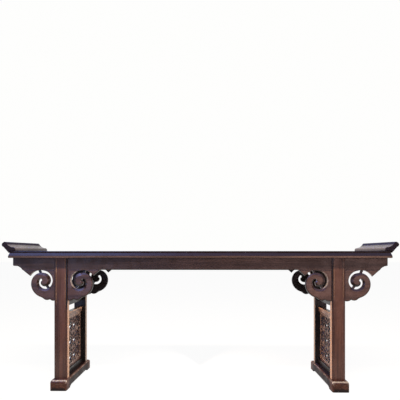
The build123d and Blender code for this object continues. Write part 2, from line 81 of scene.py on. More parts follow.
# %% [markdown]
# ## Drawing sections
#
# Every straight part of the table is a section carried along a line, as a plane or a router
# would leave it. So the first tools draw sections: arcs, corners that are eased as a hand
# plane eases them, and waiting points beside each corner, so that a smooth shade and a trace
# of wear die out before the flat begins.

# %% Arcs, corners and waiting points
SAME_POINT = 1e-4
SIDE_SHARE = 0.45
SHARPEST = 2.8  # radians that a corner may turn by and still be rounded by its own angle
SQUARE = np.array([(0, 0), (40, 0), (40, 40), (0, 40)], float)


def arc(start, via, end, steps=8):
    """Points on the circle through three points.

    With w = (end - start) / (via - start) as complex numbers, the centre is
    start + (via - start)(w - |w|^2) / (2i Im w). The start is turned about it in equal steps.
    """
    start, via, end = complex(*start), complex(*via), complex(*end)
    ratio = (end - start) / (via - start)
    centre = start + (via - start) * (ratio - abs(ratio) ** 2) / (2j * ratio.imag)
    sweep = np.angle((via - centre) / (start - centre)) + np.angle((end - centre) / (via - centre))
    turned = centre + (start - centre) * np.exp(1j * sweep * np.linspace(0, 1, steps + 1))
    return np.column_stack([turned.real, turned.imag])


def joined(*runs):
    """One closed outline from several runs of points, without the doubled ones."""
    points = np.vstack([np.asarray(run, float).reshape(-1, 2) for run in runs])
    return points[np.linalg.norm(points - np.roll(points, 1, 0), axis=1) > SAME_POINT]


def eased(points, radius, steps=4, sharp=25.0):
    """The outline with each corner that turns by more than an angle replaced by a curve.

    Corner C becomes (1-s)^2 A + 2s(1-s) C + s^2 B, where A and B stand on its two sides at
    the tangent distance r tan(turn / 2), or at 0.45 of a side that is too short for it.
    """
    def towards(neighbour):
        side = neighbour - points
        length = np.linalg.norm(side, axis=1)[:, None]
        return side / length, SIDE_SHARE * length

    back, back_most = towards(np.roll(points, 1, 0))
    ahead, ahead_most = towards(np.roll(points, -1, 0))
    turn = np.pi - np.arccos(np.clip((back * ahead).sum(1), -1, 1))
    tangent = radius * np.tan(np.minimum(turn, SHARPEST) / 2)
    cut = np.where(turn > math.radians(sharp), tangent, 0)[:, None]
    start = (points + back * np.minimum(cut, back_most))[:, None]
    end = (points + ahead * np.minimum(cut, ahead_most))[:, None]
    s = np.linspace(0, 1, steps + 1)[None, :, None]
    curve = (1 - s) ** 2 * start + 2 * s * (1 - s) * points[:, None] + s ** 2 * end
    return joined(curve.reshape(-1, 2))


def waiting(points, reach=6.0):
    """The outline with two more points on each long side, a reach away from its ends."""
    side = np.roll(points, -1, 0) - points
    length = np.linalg.norm(side, axis=1)[:, None]
    roomy = length > 2.3 * reach
    offset = np.where(roomy, reach / length, 0) * side
    last = np.where(roomy, side - offset, 0)
    return joined(np.stack([points, points + offset, points + last], 1).reshape(-1, 2))


print("an eased square has", len(waiting(eased(SQUARE, 3))), "points")


# %% Turning, exposure and inset
def turns(points):
    """Angle turned at each point of a closed outline, positive to the left."""
    z = points[:, 0] + 1j * points[:, 1]
    return np.angle((np.roll(z, -1) - z) / (z - np.roll(z, 1)))


def exposure(points, reach=3.0):
    """How close each point is to an arris or a crease, from 0 to 1.

    It is the turning near the point over a right angle, where the turning of every other point
    is weighted by exp(-(distance along the outline / reach)^2).
    """
    length = np.linalg.norm(np.roll(points, -1, 0) - points, axis=1)
    place = np.concatenate([[0], np.cumsum(length)[:-1]])
    gap = np.abs(place[:, None] - place[None, :])
    gap = np.minimum(gap, length.sum() - gap)
    return np.clip(np.exp(-(gap / reach) ** 2) @ np.abs(turns(points)) / (np.pi / 2), 0, 1)


def inset(points, distance):
    """The outline moved inwards, each point along the mitre (a + b) / (1 + a.b) of its normals."""
    side = np.roll(points, -1, 0) - points
    side /= np.linalg.norm(side, axis=1)[:, None]
    inward = np.column_stack([-side[:, 1], side[:, 0]]) * np.sign(turns(points).sum())
    before = np.roll(inward, 1, 0)
    mitre = (inward + before) / (1 + (inward * before).sum(1))[:, None]
    return points + mitre * np.broadcast_to(distance, len(points))[:, None]


print("a square's corner is exposed by", exposure(SQUARE)[0].round(3))

# %% [markdown]
# ## From a section to a piece
#
# A skin is a stack of rings with the same number of points, closed by a flat face at each end.
# At an end the rings draw in on a quarter round, by a radius that each point has for itself:
# wide where a hand touches the edge, a hair's breadth where two pieces meet, which leaves the
# fine dark line of a real joint. Blender gets plain arrays, and two values per point go with
# them: where the point lies in the plank's own grain, and how exposed it is.

# %% Skins
FULLY_RUBBED = 1.5  # an end eased by this much is rubbed as far as an end can be
BARELY_IN = 0.5  # a ring drawn in by less than this keeps its section's own exposure
SECTION_TO_WORLD = {"x": (2, 0, 1), "y": (0, 2, 1), "z": (0, 1, 2)}


def skin(rings, exposed):
    """Points, faces and exposure of a stack of rings (M, N, 3) with a cap at each end."""
    count, around = rings.shape[:2]
    index = np.arange(count * around).reshape(count, around)
    a, b = index[:-1], index[1:]
    sides = np.stack([a, np.roll(a, -1, 1), np.roll(b, -1, 1), b], -1).reshape(-1, 4)
    return rings.reshape(-1, 3), [sides, index[:1, ::-1], index[-1:]], exposed.ravel()


def quarter(ease, steps, fade):
    """Rings of one eased end as (inset, advance, exposure), from the cap inwards.

    At an angle f from 0 to 90 degrees the inset is e (1 - sin f) and the advance e (1 - cos f).
    A first ring on the cap itself and a last one beyond the round let the shade come to rest.
    """
    turn = np.radians(np.linspace(0, 90, steps + 1))[:, None]
    ease = np.atleast_1d(ease)[None, :]
    tone = np.clip(ease / FULLY_RUBBED, 0, 1) * np.sin(2 * turn).clip(0.3)
    rings = [ease * (1 - np.sin(turn)), ease * (1 - np.cos(turn)), tone]
    first = [ease + fade, 0 * ease, 0 * ease]
    last = [0 * ease, ease + fade, 0 * ease]
    return [np.vstack([f, r, l]) for f, r, l in zip(first, rings, last)]


def carried(section, axis, start, end, ease=(0.5, 0.5), steps=4, fade=5.0,
            darkening=0.0, dark_share=1.0, end_grain=0.0):
    """A section carried along an axis, with each end eased.

    start and end may hold a place for every point of the section, which cuts a mitre, and
    each ease may hold a radius for every point. darkening gives points a darkness as an arris
    has one, dark_share is the share of an arris's own darkness that is kept, and end_grain
    darkens the two flat ends.
    """
    exposed = np.maximum(exposure(section) * dark_share, darkening)
    rings, tone = [], []
    for place, radius, way in ((start, ease[0], 1), (end, ease[1], -1)):
        draw_in, advance, tone_mark = quarter(np.broadcast_to(radius, len(section)), steps, fade)
        places = np.broadcast_to(place, len(section))
        ends = [np.column_stack([inset(section, d), places + way * step])
                for d, step in zip(draw_in, advance)]
        tone_mark = np.maximum(tone_mark, exposed * (draw_in < BARELY_IN))
        tone_mark[:-2] = np.maximum(tone_mark[:-2], end_grain)
        rings.append(np.array(ends)[::way])
        tone.append(tone_mark[::way])
    return skin(np.concatenate(rings)[:, :, SECTION_TO_WORLD[axis]], np.concatenate(tone))


def bar(low, high, axis, radius, ease):
    """Rectangular bar between two corners, its long edges and its ends eased."""
    a, b, c = np.argsort(SECTION_TO_WORLD[axis])
    corners = np.array([(low[a], low[b]), (high[a], low[b]), (high[a], high[b]), (low[a], high[b])])
    return carried(waiting(eased(corners, radius)), axis, low[c], high[c], (ease, ease))


print("a plain bar has", len(bar((0, 0, 0), (40, 40, 400), "x", 2, 0.4)[0]), "points")

# %% Putting a shape into Blender
ALONG_FIRST = {"x": (0, 1, 2), "y": (1, 2, 0), "z": (2, 0, 1)}
SHARP_EDGE = 38


def volume(points, blocks):
    """Six times the volume inside the faces, negative where they are inside out."""
    total = 0.0
    for block in blocks:
        first, second, third = points[block[:, :1]], points[block[:, 1:-1]], points[block[:, 2:]]
        total += (first * np.cross(second, third)).sum()
    return total


def put(name, shape, slot, nodes, grain, turned=(1, 1), dress=None):
    """Puts a shape into Blender as a piece that stands for CAD nodes.

    grain is the axis that the wood's fibres follow, turned mirrors the piece in x or y, and
    dress names a finish other than the slot's own.
    """
    points, blocks, exposed = shape
    points = points * (*turned, 1) * MM
    if volume(points, blocks) < 0:
        blocks = [block[:, ::-1] for block in blocks]
    sizes = np.concatenate([np.full(len(block), block.shape[1]) for block in blocks])
    mesh = bpy.data.meshes.new(name)
    mesh.vertices.add(len(points))
    mesh.vertices.foreach_set("co", points.ravel())
    mesh.loops.add(int(sizes.sum()))
    mesh.loops.foreach_set("vertex_index", np.concatenate([block.ravel() for block in blocks]))
    mesh.polygons.add(len(sizes))
    mesh.polygons.foreach_set("loop_start", np.concatenate([[0], np.cumsum(sizes)[:-1]]))
    mesh.update(calc_edges=True)
    mesh.validate()
    mesh.shade_smooth()
    mesh.set_sharp_from_angle(angle=math.radians(SHARP_EDGE))
    along = points[:, ALONG_FIRST[grain]] + rng.uniform(-5, 5, 3)
    mesh.attributes.new("grain", "FLOAT_VECTOR", "POINT").data.foreach_set("vector", along.ravel())
    exposed = np.ascontiguousarray(exposed)
    mesh.attributes.new("exposed", "FLOAT", "POINT").data.foreach_set("value", exposed)
    piece = bpy.data.objects.new(name, mesh)
    bpy.context.scene.collection.objects.link(piece)
    piece.data.materials.append(finish[dress or slot])
    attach(piece, "root")
    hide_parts(*nodes)


SIDES = {"left": -1, "right": 1}
FACES = {"front": 1, "back": -1}
# Back pieces take the finishes painted nearly black, a painted shade.
DRESS = {"front": "", "back": "old_"}
print("edges sharper than", SHARP_EDGE, "degrees stay crisp")

# %% [markdown]
# ## Wood under old lacquer
#
# The wood is a dark, reddish Chinese hardwood under many coats of lacquer and polish. Close to,
# it has slow bands of lighter and darker brown along the plank, fine streaks, and short dark
# pores. Arrises and hollows are darkened. Light and shade are painted too: the beads, the crests
# of the carving, the inner sides of the legs, the middle rails and the tops of the shoes are
# painted pale where light falls on them, and the back legs, back scrolls, back apron and the
# upper and lower side rails are painted nearly black as shade. These effects serve every piece,
# so each is a group with its own inputs: the grain, the edges, and the patina. One signed value
# per point steers the edges: above zero they are dark, both darkened arrises and painted shade,
# and below zero they take a pale tone, which is painted light. The shader itself stays in the
# material, where gloss is set once on its own sockets.


# %% Node tools
def new_group(name, inputs, outputs):
    """An empty shader group with named sockets, and its two end nodes."""
    group = bpy.data.node_groups.new(name, "ShaderNodeTree")
    for label, kind, value in inputs:
        socket = group.interface.new_socket(label, in_out="INPUT", socket_type="NodeSocket" + kind)
        if value is not None:
            socket.default_value = value
    for label in outputs:
        group.interface.new_socket(label, in_out="OUTPUT", socket_type="NodeSocketFloat")
    return group, group.nodes.new("NodeGroupInput"), group.nodes.new("NodeGroupOutput")


def node(tree, kind, settings=None, **inputs):
    """A node with its settings, and inputs given as numbers or as sockets to link.

    An input goes by its label, or as i and its number where labels repeat.
    """
    made = tree.nodes.new("ShaderNode" + kind)
    for key, value in (settings or {}).items():
        setattr(made, key, value)
    for label, value in inputs.items():
        key = int(label[1:]) if label[1:].isdigit() else label.replace("_", " ")
        if isinstance(value, bpy.types.NodeSocket):
            tree.links.new(value, made.inputs[key])
        else:
            made.inputs[key].default_value = value
    return made


def noise(tree, vector, stretch, detail=3.0, roughness=0.55):
    """Noise from -1 to 1 whose cells are one over the stretch long in each direction, in metres."""
    mapped = node(tree, "Mapping", Vector=vector, Scale=stretch).outputs["Vector"]
    made = node(tree, "TexNoise", dict(normalize=False), Vector=mapped, Scale=1.0, Detail=detail,
                Roughness=roughness)
    return made.outputs["Fac"]


def spread(tree, value, low, high, to_low=0.0, to_high=1.0):
    """A value eased from one range to another."""
    made = node(tree, "MapRange", dict(interpolation_type="SMOOTHSTEP"), Value=value, From_Min=low,
                From_Max=high, To_Min=to_low, To_Max=to_high)
    return made.outputs["Result"]


def sums(tree, operation, first, second, third=0.0):
    """One step of arithmetic."""
    made = node(tree, "Math", dict(operation=operation), i0=first, i1=second, i2=third)
    return made.outputs["Value"]


def blended(tree, factor, first, second):
    """Two colours mixed by a factor."""
    return node(tree, "Mix", dict(data_type="RGBA"), i0=factor, i6=first, i7=second).outputs[2]


print("shader groups so far:", len(bpy.data.node_groups))


# %% Grain, edges and patina
def make_grain():
    """Bands, streaks and pores from noise drawn out along the first axis of the grain."""
    group, given, result = new_group(
        "wood grain", [("Place", "Vector", None), ("Fineness", "Float", 1.0)],
        ["Bands", "Pores", "Height"])
    place = node(group, "VectorMath", dict(operation="SCALE"), i0=given.outputs["Place"],
                 Scale=given.outputs["Fineness"]).outputs["Vector"]
    slow = noise(group, place, (1.3, 22, 22), 4.0)
    streaks = noise(group, place, (3.5, 150, 150), 2.0)
    dashes = noise(group, place, (34, 800, 800), 1.0)
    swell = noise(group, place, (7, 26, 26), 2.0)
    bands = sums(group, "MULTIPLY_ADD", streaks, 0.55, slow)
    pores = spread(group, dashes, 0.38, 0.75)
    height = sums(group, "MULTIPLY_ADD", pores, -0.08, swell)
    group.links.new(spread(group, bands, -0.75, 0.75), result.inputs["Bands"])
    group.links.new(pores, result.inputs["Pores"])
    group.links.new(height, result.inputs["Height"])
    return group


def make_edges():
    """Where arrises are darkened and shade is painted dark, and where light is painted pale, broken
    up by fine noise.
    """
    group, given, result = new_group(
        "edges", [("Place", "Vector", None), ("Exposed", "Float", 0.0), ("Amount", "Float", 1.0)],
        ["Dark", "Painted Light"])
    patches = sums(group, "MULTIPLY", noise(group, given.outputs["Place"], (14, 60, 60), 4.0), 0.2)
    signed = sums(group, "MULTIPLY", given.outputs["Exposed"], given.outputs["Amount"])
    dark = sums(group, "ADD", signed, patches)
    tone = sums(group, "SUBTRACT", patches, signed)
    group.links.new(spread(group, dark, 0.2, 0.7), result.inputs["Dark"])
    group.links.new(spread(group, tone, 0.25, 0.85), result.inputs["Painted Light"])
    return group


def make_patina():
    """Slow patches a hand's breadth wide where old polish lies thicker."""
    group, given, result = new_group(
        "patina", [("Place", "Vector", None), ("Size", "Float", 0.08)], ["Patches"])
    size = given.outputs["Size"]
    scaled = node(group, "VectorMath", dict(operation="DIVIDE"), i0=given.outputs["Place"],
                  i1=node(group, "CombineXYZ", X=size, Y=size, Z=size).outputs["Vector"])
    patches = noise(group, scaled.outputs["Vector"], (1, 1, 1), 5.0, 0.6)
    group.links.new(spread(group, patches, -0.6, 0.6), result.inputs["Patches"])
    return group


GRAIN, EDGES, PATINA = make_grain(), make_edges(), make_patina()
print("shader groups:", [group.name for group in (GRAIN, EDGES, PATINA)])


# %% Lacquered wood
def times(colour, factor):
    """A colour made lighter or darker, with full alpha."""
    return (*[channel * factor for channel in colour], 1)


def lacquered(name, colour, contrast=0.45, edge=(0.010, 0.0055, 0.0050), tone=(0.19, 0.125, 0.095),
              gloss=(0.24, 0.40), specular=0.3, dirt=0.0, bump=0.12, own_grain=True):
    """Lacquered wood: bands either side of a brown, pores, dark edges, a pale tone, uneven gloss.

    contrast is how far the bands go either side of the colour, the pale tone is the colour of
    points below zero, which is painted light, gloss is the roughness under thin and thick polish,
    and dirt is how much rougher the surface is where it is dark. Without grain of its own, a piece
    takes its object's coordinates and has no edges.
    """
    material = bpy.data.materials.new(name)
    material.use_nodes = True
    tree = material.node_tree
    shader = tree.nodes["Principled BSDF"]
    if own_grain:
        place = node(tree, "Attribute", dict(attribute_name="grain")).outputs["Vector"]
        exposed = node(tree, "Attribute", dict(attribute_name="exposed")).outputs["Fac"]
    else:
        place = node(tree, "TexCoord").outputs["Object"]
        exposed = 0.0
    grain = node(tree, "Group", dict(node_tree=GRAIN), Place=place)
    edges = node(tree, "Group", dict(node_tree=EDGES), Place=place, Exposed=exposed)
    patches = node(tree, "Group", dict(node_tree=PATINA), Place=place).outputs["Patches"]
    darker, lighter = times(colour, 1 - contrast), times(colour, 1 + contrast)
    wood = blended(tree, grain.outputs["Bands"], darker, lighter)
    pores = sums(tree, "MULTIPLY", grain.outputs["Pores"], 0.4)
    wood = blended(tree, pores, wood, times(colour, 0.25))
    wood = blended(tree, sums(tree, "MULTIPLY", patches, 0.3), wood, times(colour, 0.6))
    # The dark mix covers darkened arrises and painted shade; the pale mix after it is painted
    # light.
    wood = blended(tree, edges.outputs["Dark"], wood, (*edge, 1))
    wood = blended(tree, edges.outputs["Painted Light"], wood, (*tone, 1))
    tree.links.new(wood, shader.inputs["Base Color"])
    dull = sums(tree, "MULTIPLY_ADD", patches, gloss[1] - gloss[0], gloss[0])
    dull = sums(tree, "MULTIPLY_ADD", grain.outputs["Pores"], 0.1, dull)
    dull = sums(tree, "MULTIPLY_ADD", edges.outputs["Dark"], dirt, dull)
    tree.links.new(dull, shader.inputs["Roughness"])
    relief = node(tree, "Bump", Strength=bump, Distance=0.0008, Height=grain.outputs["Height"])
    tree.links.new(relief.outputs["Normal"], shader.inputs["Normal"])
    shader.inputs["Specular IOR Level"].default_value = specular
    return material


print("a brown at half its lightness:", times((0.08, 0.04, 0.03), 0.5))

# %% The finishes
APRON_BROWN, LEG_BROWN = (0.088, 0.050, 0.042), (0.072, 0.032, 0.024)
PANEL_BROWN, EDGE_BROWN = (0.075, 0.040, 0.033), (0.085, 0.050, 0.040)
SCROLL_BROWN, SHOE_BROWN = (0.056, 0.028, 0.022), (0.053, 0.022, 0.015)
# The second brown below is painted shade: a near-black for the back parts and the upper and lower
# side rails.
FLANGE_BROWN_AND_SHEEN, PAINTED_SHADE_BROWN = (0.095, 0.072, 0.080), (0.014, 0.012, 0.012)
BARE_WOOD = (0.14, 0.08, 0.045)
# The pale colours in the two lines below are painted light: the lit inner sides and beads of the
# legs, the middle rails, the crests of the carving, the lines on the scroll lips and the sheen on
# the shoes.
PAINTED_LIGHT_BROWN, PAINTED_LIGHT_DIM, PAINTED_CREST_HIGHLIGHT = (0.36, 0.21, 0.13), (0.20, 0.14, 0.10), (0.36, 0.27, 0.22)
PAINTED_LIP_HIGHLIGHT, PAINTED_SHOE_SHEEN = (0.28, 0.23, 0.22), (0.36, 0.31, 0.28)
POLISHED, BURNISHED = (0.20, 0.34), (0.20, 0.32)
finish = {
    "top_boards": lacquered("top boards", APRON_BROWN, gloss=(0.18, 0.30), bump=0.04),
    "top_frame": lacquered("top frame", EDGE_BROWN, gloss=BURNISHED, specular=0.32),
    # The flange's grey-violet brown is partly its own colour and partly a painted reflection of the
    # pale room in its hollow.
    "flange": lacquered("flange", FLANGE_BROWN_AND_SHEEN, gloss=BURNISHED, dirt=0.5, bump=0.05),
    "apron": lacquered("apron", APRON_BROWN),
    "old_apron": lacquered("old apron", PAINTED_SHADE_BROWN),
    "leg": lacquered("leg", LEG_BROWN, tone=PAINTED_LIGHT_BROWN),
    "old_leg": lacquered("old leg", PAINTED_SHADE_BROWN, tone=PAINTED_LIGHT_DIM),
    "spandrel": lacquered("spandrel", SCROLL_BROWN, tone=PAINTED_LIP_HIGHLIGHT, gloss=POLISHED, specular=0.5),
    "old_spandrel": lacquered("old spandrel", PAINTED_SHADE_BROWN, gloss=POLISHED),
    "side_rail": lacquered("side rail", PANEL_BROWN, tone=PAINTED_LIGHT_BROWN),
    "painted_shade_rail": lacquered("painted shade rail", PAINTED_SHADE_BROWN, tone=PAINTED_LIGHT_BROWN),
    "carved_panel": lacquered("carved panel", PANEL_BROWN, tone=PAINTED_CREST_HIGHLIGHT, bump=0.06),
    "shoe": lacquered("shoe", SHOE_BROWN, tone=PAINTED_SHOE_SHEEN, gloss=(0.42, 0.58), specular=0.15),
    "inner_wood": lacquered("inner wood", BARE_WOOD, 0.3, gloss=(0.6, 0.75), own_grain=False),
}
print("finishes:", ", ".join(finish))

# %% [markdown]
# ## The top
#
# Two long rails and two end pieces carry the same moulding on their outer edge: a narrow neck,
# all but upright, a shoulder that slants out from it, both darkened, and under them a band whose
# arrises keep little of their darkness and that rounds in to the underside. The section is drawn
# once as distance from the table's middle and height, then carried along each side. At a mitre
# every point of the section stops where the diagonal crosses it.

# %% Frame of the top
top_low, top_high = box("top_front_rail")
UNDER, TOP = top_low[2], top_high[2]
HALF_LENGTH, HALF_DEPTH = top_high[0], box("top_end_right")[1][1]
FRAME_WIDTH = 80.0
INNER_X, INNER_Y = HALF_LENGTH - FRAME_WIDTH, HALF_DEPTH - FRAME_WIDTH
NECK_INSET, NECK_DEPTH, BAND_DEPTH = 7.0, 13.0, 30.0
NECK_DARKENING, BAND_DARK_SHARE = 0.8, 0.15


def moulding(reach, inner):
    """Section of a frame piece: neck, a shoulder out to the full reach, a band, a round foot."""
    neck = reach - NECK_INSET
    return joined(
        [(inner, UNDER), (inner, TOP), (neck, TOP), (neck + 0.2, TOP - 3), (neck + 1, TOP - 11.5)],
        arc((neck + 1.2, TOP - NECK_DEPTH), (reach - 2.4, TOP - 22.5), (reach, TOP - 31)),
        [(reach, TOP - 33)],
        arc((reach, UNDER + 2.6), (reach - 0.76, UNDER + 0.76), (reach - 2.6, UNDER)))


def frame_piece(reach, inner, axis, along, flip):
    """The moulding carried along one side of the top, mitred, and darkened above its band."""
    section = waiting(eased(moulding(reach, inner), 1.5))
    out, depth = section[:, 0] - reach + NECK_INSET, TOP - section[:, 1]
    above_band = (out > -1) & (depth > 1) & (depth < BAND_DEPTH)
    on_band = (out > 4) & (depth > BAND_DEPTH)
    mitre = along + section[:, 0] - inner
    return carried(section * (flip, 1), axis, -mitre, mitre, (0.35, 0.35), 2,
                   darkening=above_band * NECK_DARKENING, dark_share=np.where(on_band, BAND_DARK_SHARE, 1))


for face, way in FACES.items():
    rail = frame_piece(HALF_DEPTH, INNER_Y, "x", INNER_X, -1)
    put(f"{face}_rail_of_top", rail, "top_frame", [f"top_{face}_rail"], "x", (1, way))
for side, way in SIDES.items():
    rail = frame_piece(HALF_LENGTH, INNER_X, "y", INNER_Y, 1)
    put(f"{side}_end_of_top", rail, "top_frame", [f"top_end_{side}"], "y", (way, 1))
print("top is", round(2 * HALF_LENGTH), "by", round(2 * HALF_DEPTH), "mm")

# %% [markdown]
# ## Boards and battens
#
# Three boards float inside the frame, level with it, and a fine line shows between them. The
# battens below are only seen by whoever turns the table over, and the loose tenons, inside
# their joints, by nobody. The CAD solids of both stay and get the finish of bare wood.

# %% Boards
BOARD_LOW = TOP - 18
BOARD_WIDTH = 2 * INNER_Y / 3
for index in range(3):
    start = -INNER_Y + index * BOARD_WIDTH
    board = bar((-INNER_X, start, BOARD_LOW), (INNER_X, start + BOARD_WIDTH, TOP), "x", 0.35, 0.35)
    put(f"board_{index + 1}", board, "top_boards", [f"top_board_{index + 1}"], "x")

unseen = [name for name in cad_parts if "batten" in name or "loose" in name]
for name in unseen:
    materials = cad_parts[name].data.materials
    materials.clear()
    materials.append(finish["inner_wood"])
print("bare wood on", ", ".join(unseen))

# %% [markdown]
# ## Upturned flanges
#
# Each end of the top carries a separate moulding, fixed with loose tenons. From the middle of
# the table it rises as a small ovolo, a step, and a long hollow to a rolled nose; outside it
# falls back in a slanting face, and its foot laps over the neck of the end piece.

# %% Flanges
FLANGE_LOW, FLANGE_HIGH = box("flange_right")
SHELF, NOSE = TOP + 24.5, TOP + 57.5
FLANGE_LINE_DARKENING, END_GRAIN = 0.9, 0.8


def flange_section():
    """Ovolo, step, hollow, nose, outer slope and foot as (distance from the middle, height)."""
    inner, tip = FLANGE_LOW[0], FLANGE_HIGH[0]
    lap, foot, neck = HALF_LENGTH + 3, FLANGE_LOW[2], HALF_LENGTH - NECK_INSET
    return joined(
        [(inner, TOP)],
        arc((inner, TOP + 9), (inner + 4.5, SHELF - 4.5), (inner + 15, SHELF)),
        arc((inner + 21, SHELF), (inner + 43, SHELF + 10.5), (inner + 58, NOSE - 5), 12),
        arc((inner + 58, NOSE - 5), (inner + 65, NOSE), (inner + 75, NOSE - 3.5)),
        arc((inner + 75, NOSE - 3.5), (tip - 2.5, NOSE - 10), (tip, TOP + 40)),
        arc((tip, TOP + 40), (tip - 2.5, TOP + 32), (tip - 11, TOP + 26)),
        [(lap, TOP - 8), (lap, foot), (neck, foot), (neck, TOP)])


for side, way in SIDES.items():
    section = waiting(eased(flange_section(), 1.2), 3)
    out, up = section[:, 0] - FLANGE_LOW[0], section[:, 1] - TOP
    step_line = np.exp(-((out - 18) / 4) ** 2)
    lines = np.maximum(step_line, (out > 51) & (up > 39)) * (up > 20)
    flange = carried(section, "y", FLANGE_LOW[1], FLANGE_HIGH[1], (1.5, 1.5), fade=1.5,
                     darkening=FLANGE_LINE_DARKENING * lines, end_grain=END_GRAIN)
    put(f"flange_{side}_moulding", flange, "flange", [f"flange_{side}"], "y", (way, 1))
print("flanges rise", round(FLANGE_HIGH[2] - TOP, 1), "mm")

# %% [markdown]
# ## Aprons
#
# One board runs the whole length under the top, and its ends are sawn to a hollow and a
# shoulder. It is drawn as seen from the front and carried through its thickness. The free
# lower edge is rounded over, but where a spandrel meets it the arris stays tight.

# %% Long and short aprons
leg_low, leg_high = box("leg_front_right")
LEG_IN, LEG_OUT = leg_low[0], leg_high[0]
LEG_CENTRE, LEG_HALF = (LEG_IN + LEG_OUT) / 2, (LEG_OUT - LEG_IN) / 2
LEG_FACE, LEG_BACK = -leg_low[1], 153.5
apron_low, apron_high = box("apron_front")
APRON_END, APRON_BOTTOM = apron_high[0], apron_low[2]
BOARD_FACE, BOARD_BACK = -apron_low[1], -apron_high[1]
SHOULDER, SHORT_APRON = APRON_BOTTOM + 31, 18.0
INNER_OGEE = 206.0
OUTER_OGEE = {"left": 206.0, "right": 217.0}
ROUNDED, TIGHT, AGAINST_TOP, AT_ENDS, AT_BACK = 4.5, 0.7, 0.4, 1.2, 1.5


def half_apron(ogee):
    """Half of the apron as (distance along, height), out along its lower edge and up its end."""
    foot = LEG_OUT + ogee
    return np.vstack([
        [(LEG_IN - INNER_OGEE - 12, APRON_BOTTOM), (LEG_IN - INNER_OGEE, APRON_BOTTOM)],
        arc((foot, APRON_BOTTOM), (foot + 13, APRON_BOTTOM + 13.5),
            (foot + 30, APRON_BOTTOM + 23.7)),
        arc((APRON_END - 8, SHOULDER - 6), (APRON_END - 2, SHOULDER - 4), (APRON_END, SHOULDER)),
        [(APRON_END, UNDER)]])


def apron_ease(outline):
    """Radius of the front arris at each point: full on the free edge, tight over a spandrel."""
    across = np.abs(outline[:, 0])
    outer_foot = LEG_OUT + np.where(outline[:, 0] < 0, OUTER_OGEE["left"], OUTER_OGEE["right"])
    covered = np.minimum(across - LEG_IN + INNER_OGEE, outer_foot - across)
    ease = np.interp(covered, [-6, 0], [ROUNDED, TIGHT])
    ease = np.where(outline[:, 1] > UNDER - 1, AGAINST_TOP, ease)
    return np.where(across > APRON_END - 30, np.minimum(ease, AT_ENDS), ease)


outline = joined(half_apron(OUTER_OGEE["right"]), half_apron(OUTER_OGEE["left"])[::-1] * (-1, 1))
outline = waiting(eased(outline, 1.0))
ease = apron_ease(outline)
eases = ease, np.minimum(ease, AT_BACK)
for face, way in FACES.items():
    apron = carried(outline, "y", -BOARD_FACE, -BOARD_BACK, eases, 5, 2.0)
    put(f"{face}_apron", apron, "apron", [f"apron_{face}"], "x", (1, way), DRESS[face] + "apron")
corners = (APRON_END - SHORT_APRON, -BOARD_BACK, SHOULDER), (APRON_END, BOARD_BACK, UNDER)
for side, way in SIDES.items():
    short = bar(*corners, "y", 2.0, 0.4)
    put(f"{side}_short_apron", short, "apron", [f"apron_end_{side}"], "y", (way, 1))
print("apron:", len(outline), "points round it")

# %% [markdown]
# ## Legs
#
# A leg is flat, with a fine bead near each side of its face and a strip outside the bead that
# lies a little lower. Its plan is carried up to the fork; above it the same ring of points
# parts into two cheeks, one in front of the apron and one behind, with a flat floor between.
# The beads and the inner sides are painted pale, a painted highlight on the beads and painted
# light on the sides, the beads more towards the top and the sides more towards the floor. The
# seam at the inner arris is painted dark near the top, a painted shadow line.

# %% Plan of a leg
SHOE_TOP = 63.0
BEAD_INSET, BEAD_RADIUS = 13.0, 2.6
TONE_LOW, TONE_HIGH = 430.0, 600.0


def leg_plan():
    """Plan of a leg about its own middle, from the middle of its back round to the right."""
    half, bead, radius = LEG_HALF, LEG_HALF - BEAD_INSET, BEAD_RADIUS
    face = -LEG_FACE + 1.5
    band = face + 1.2
    right = np.vstack([
        [(0, -LEG_BACK)],
        arc((half - 2, -LEG_BACK), (half - 0.6, -LEG_BACK - 0.6), (half, -LEG_BACK - 2)),
        [(half, -BOARD_BACK), (half, -BOARD_FACE)],
        arc((half, band + 4), (half - 1.17, band + 1.17), (half - 4, band)),
        [(bead + radius, band), (bead + radius, face)],
        arc((bead + radius, face), (bead, -LEG_FACE), (bead - radius, face))])
    return waiting(joined(right, right[:0:-1] * (-1, 1)), 4)


def leg_tone(plan, level):
    """Signed value at each point of the plan and level: 0 to 1 dark, below 0 pale. The beads get a
    painted highlight, the inner sides painted light, and the seam at the inner arris a painted
    shadow line.
    """
    from_bead = np.abs(np.abs(plan[:, 0]) - LEG_HALF + BEAD_INSET)
    in_front = plan[:, 1] < -BOARD_FACE
    lit_inner_side = np.isclose(plan[:, 0], -LEG_HALF)
    seam = in_front & (plan[:, 0] < 5 - LEG_HALF) & ~lit_inner_side
    arrises = exposure(plan, 2.0)
    bead_highlight = in_front & (from_bead < 0.9 * BEAD_RADIUS)
    exposed = np.where(in_front & (from_bead < 2 * BEAD_RADIUS), 0.45 * arrises, arrises)
    # Painted light and shade: the beads and inner sides are made pale as lit, and the seam at the
    # inner arris is made dark as a shadow line.
    for place, low, high in ((seam, 0.0, 1.0), (bead_highlight, -0.15, -0.5), (lit_inner_side, -0.95, -0.4)):
        exposed = np.where(place, np.interp(level, [TONE_LOW, TONE_HIGH], [low, high]), exposed)
    return exposed


print("leg is", round(2 * LEG_HALF), "mm wide, its plan has", len(leg_plan()), "points")


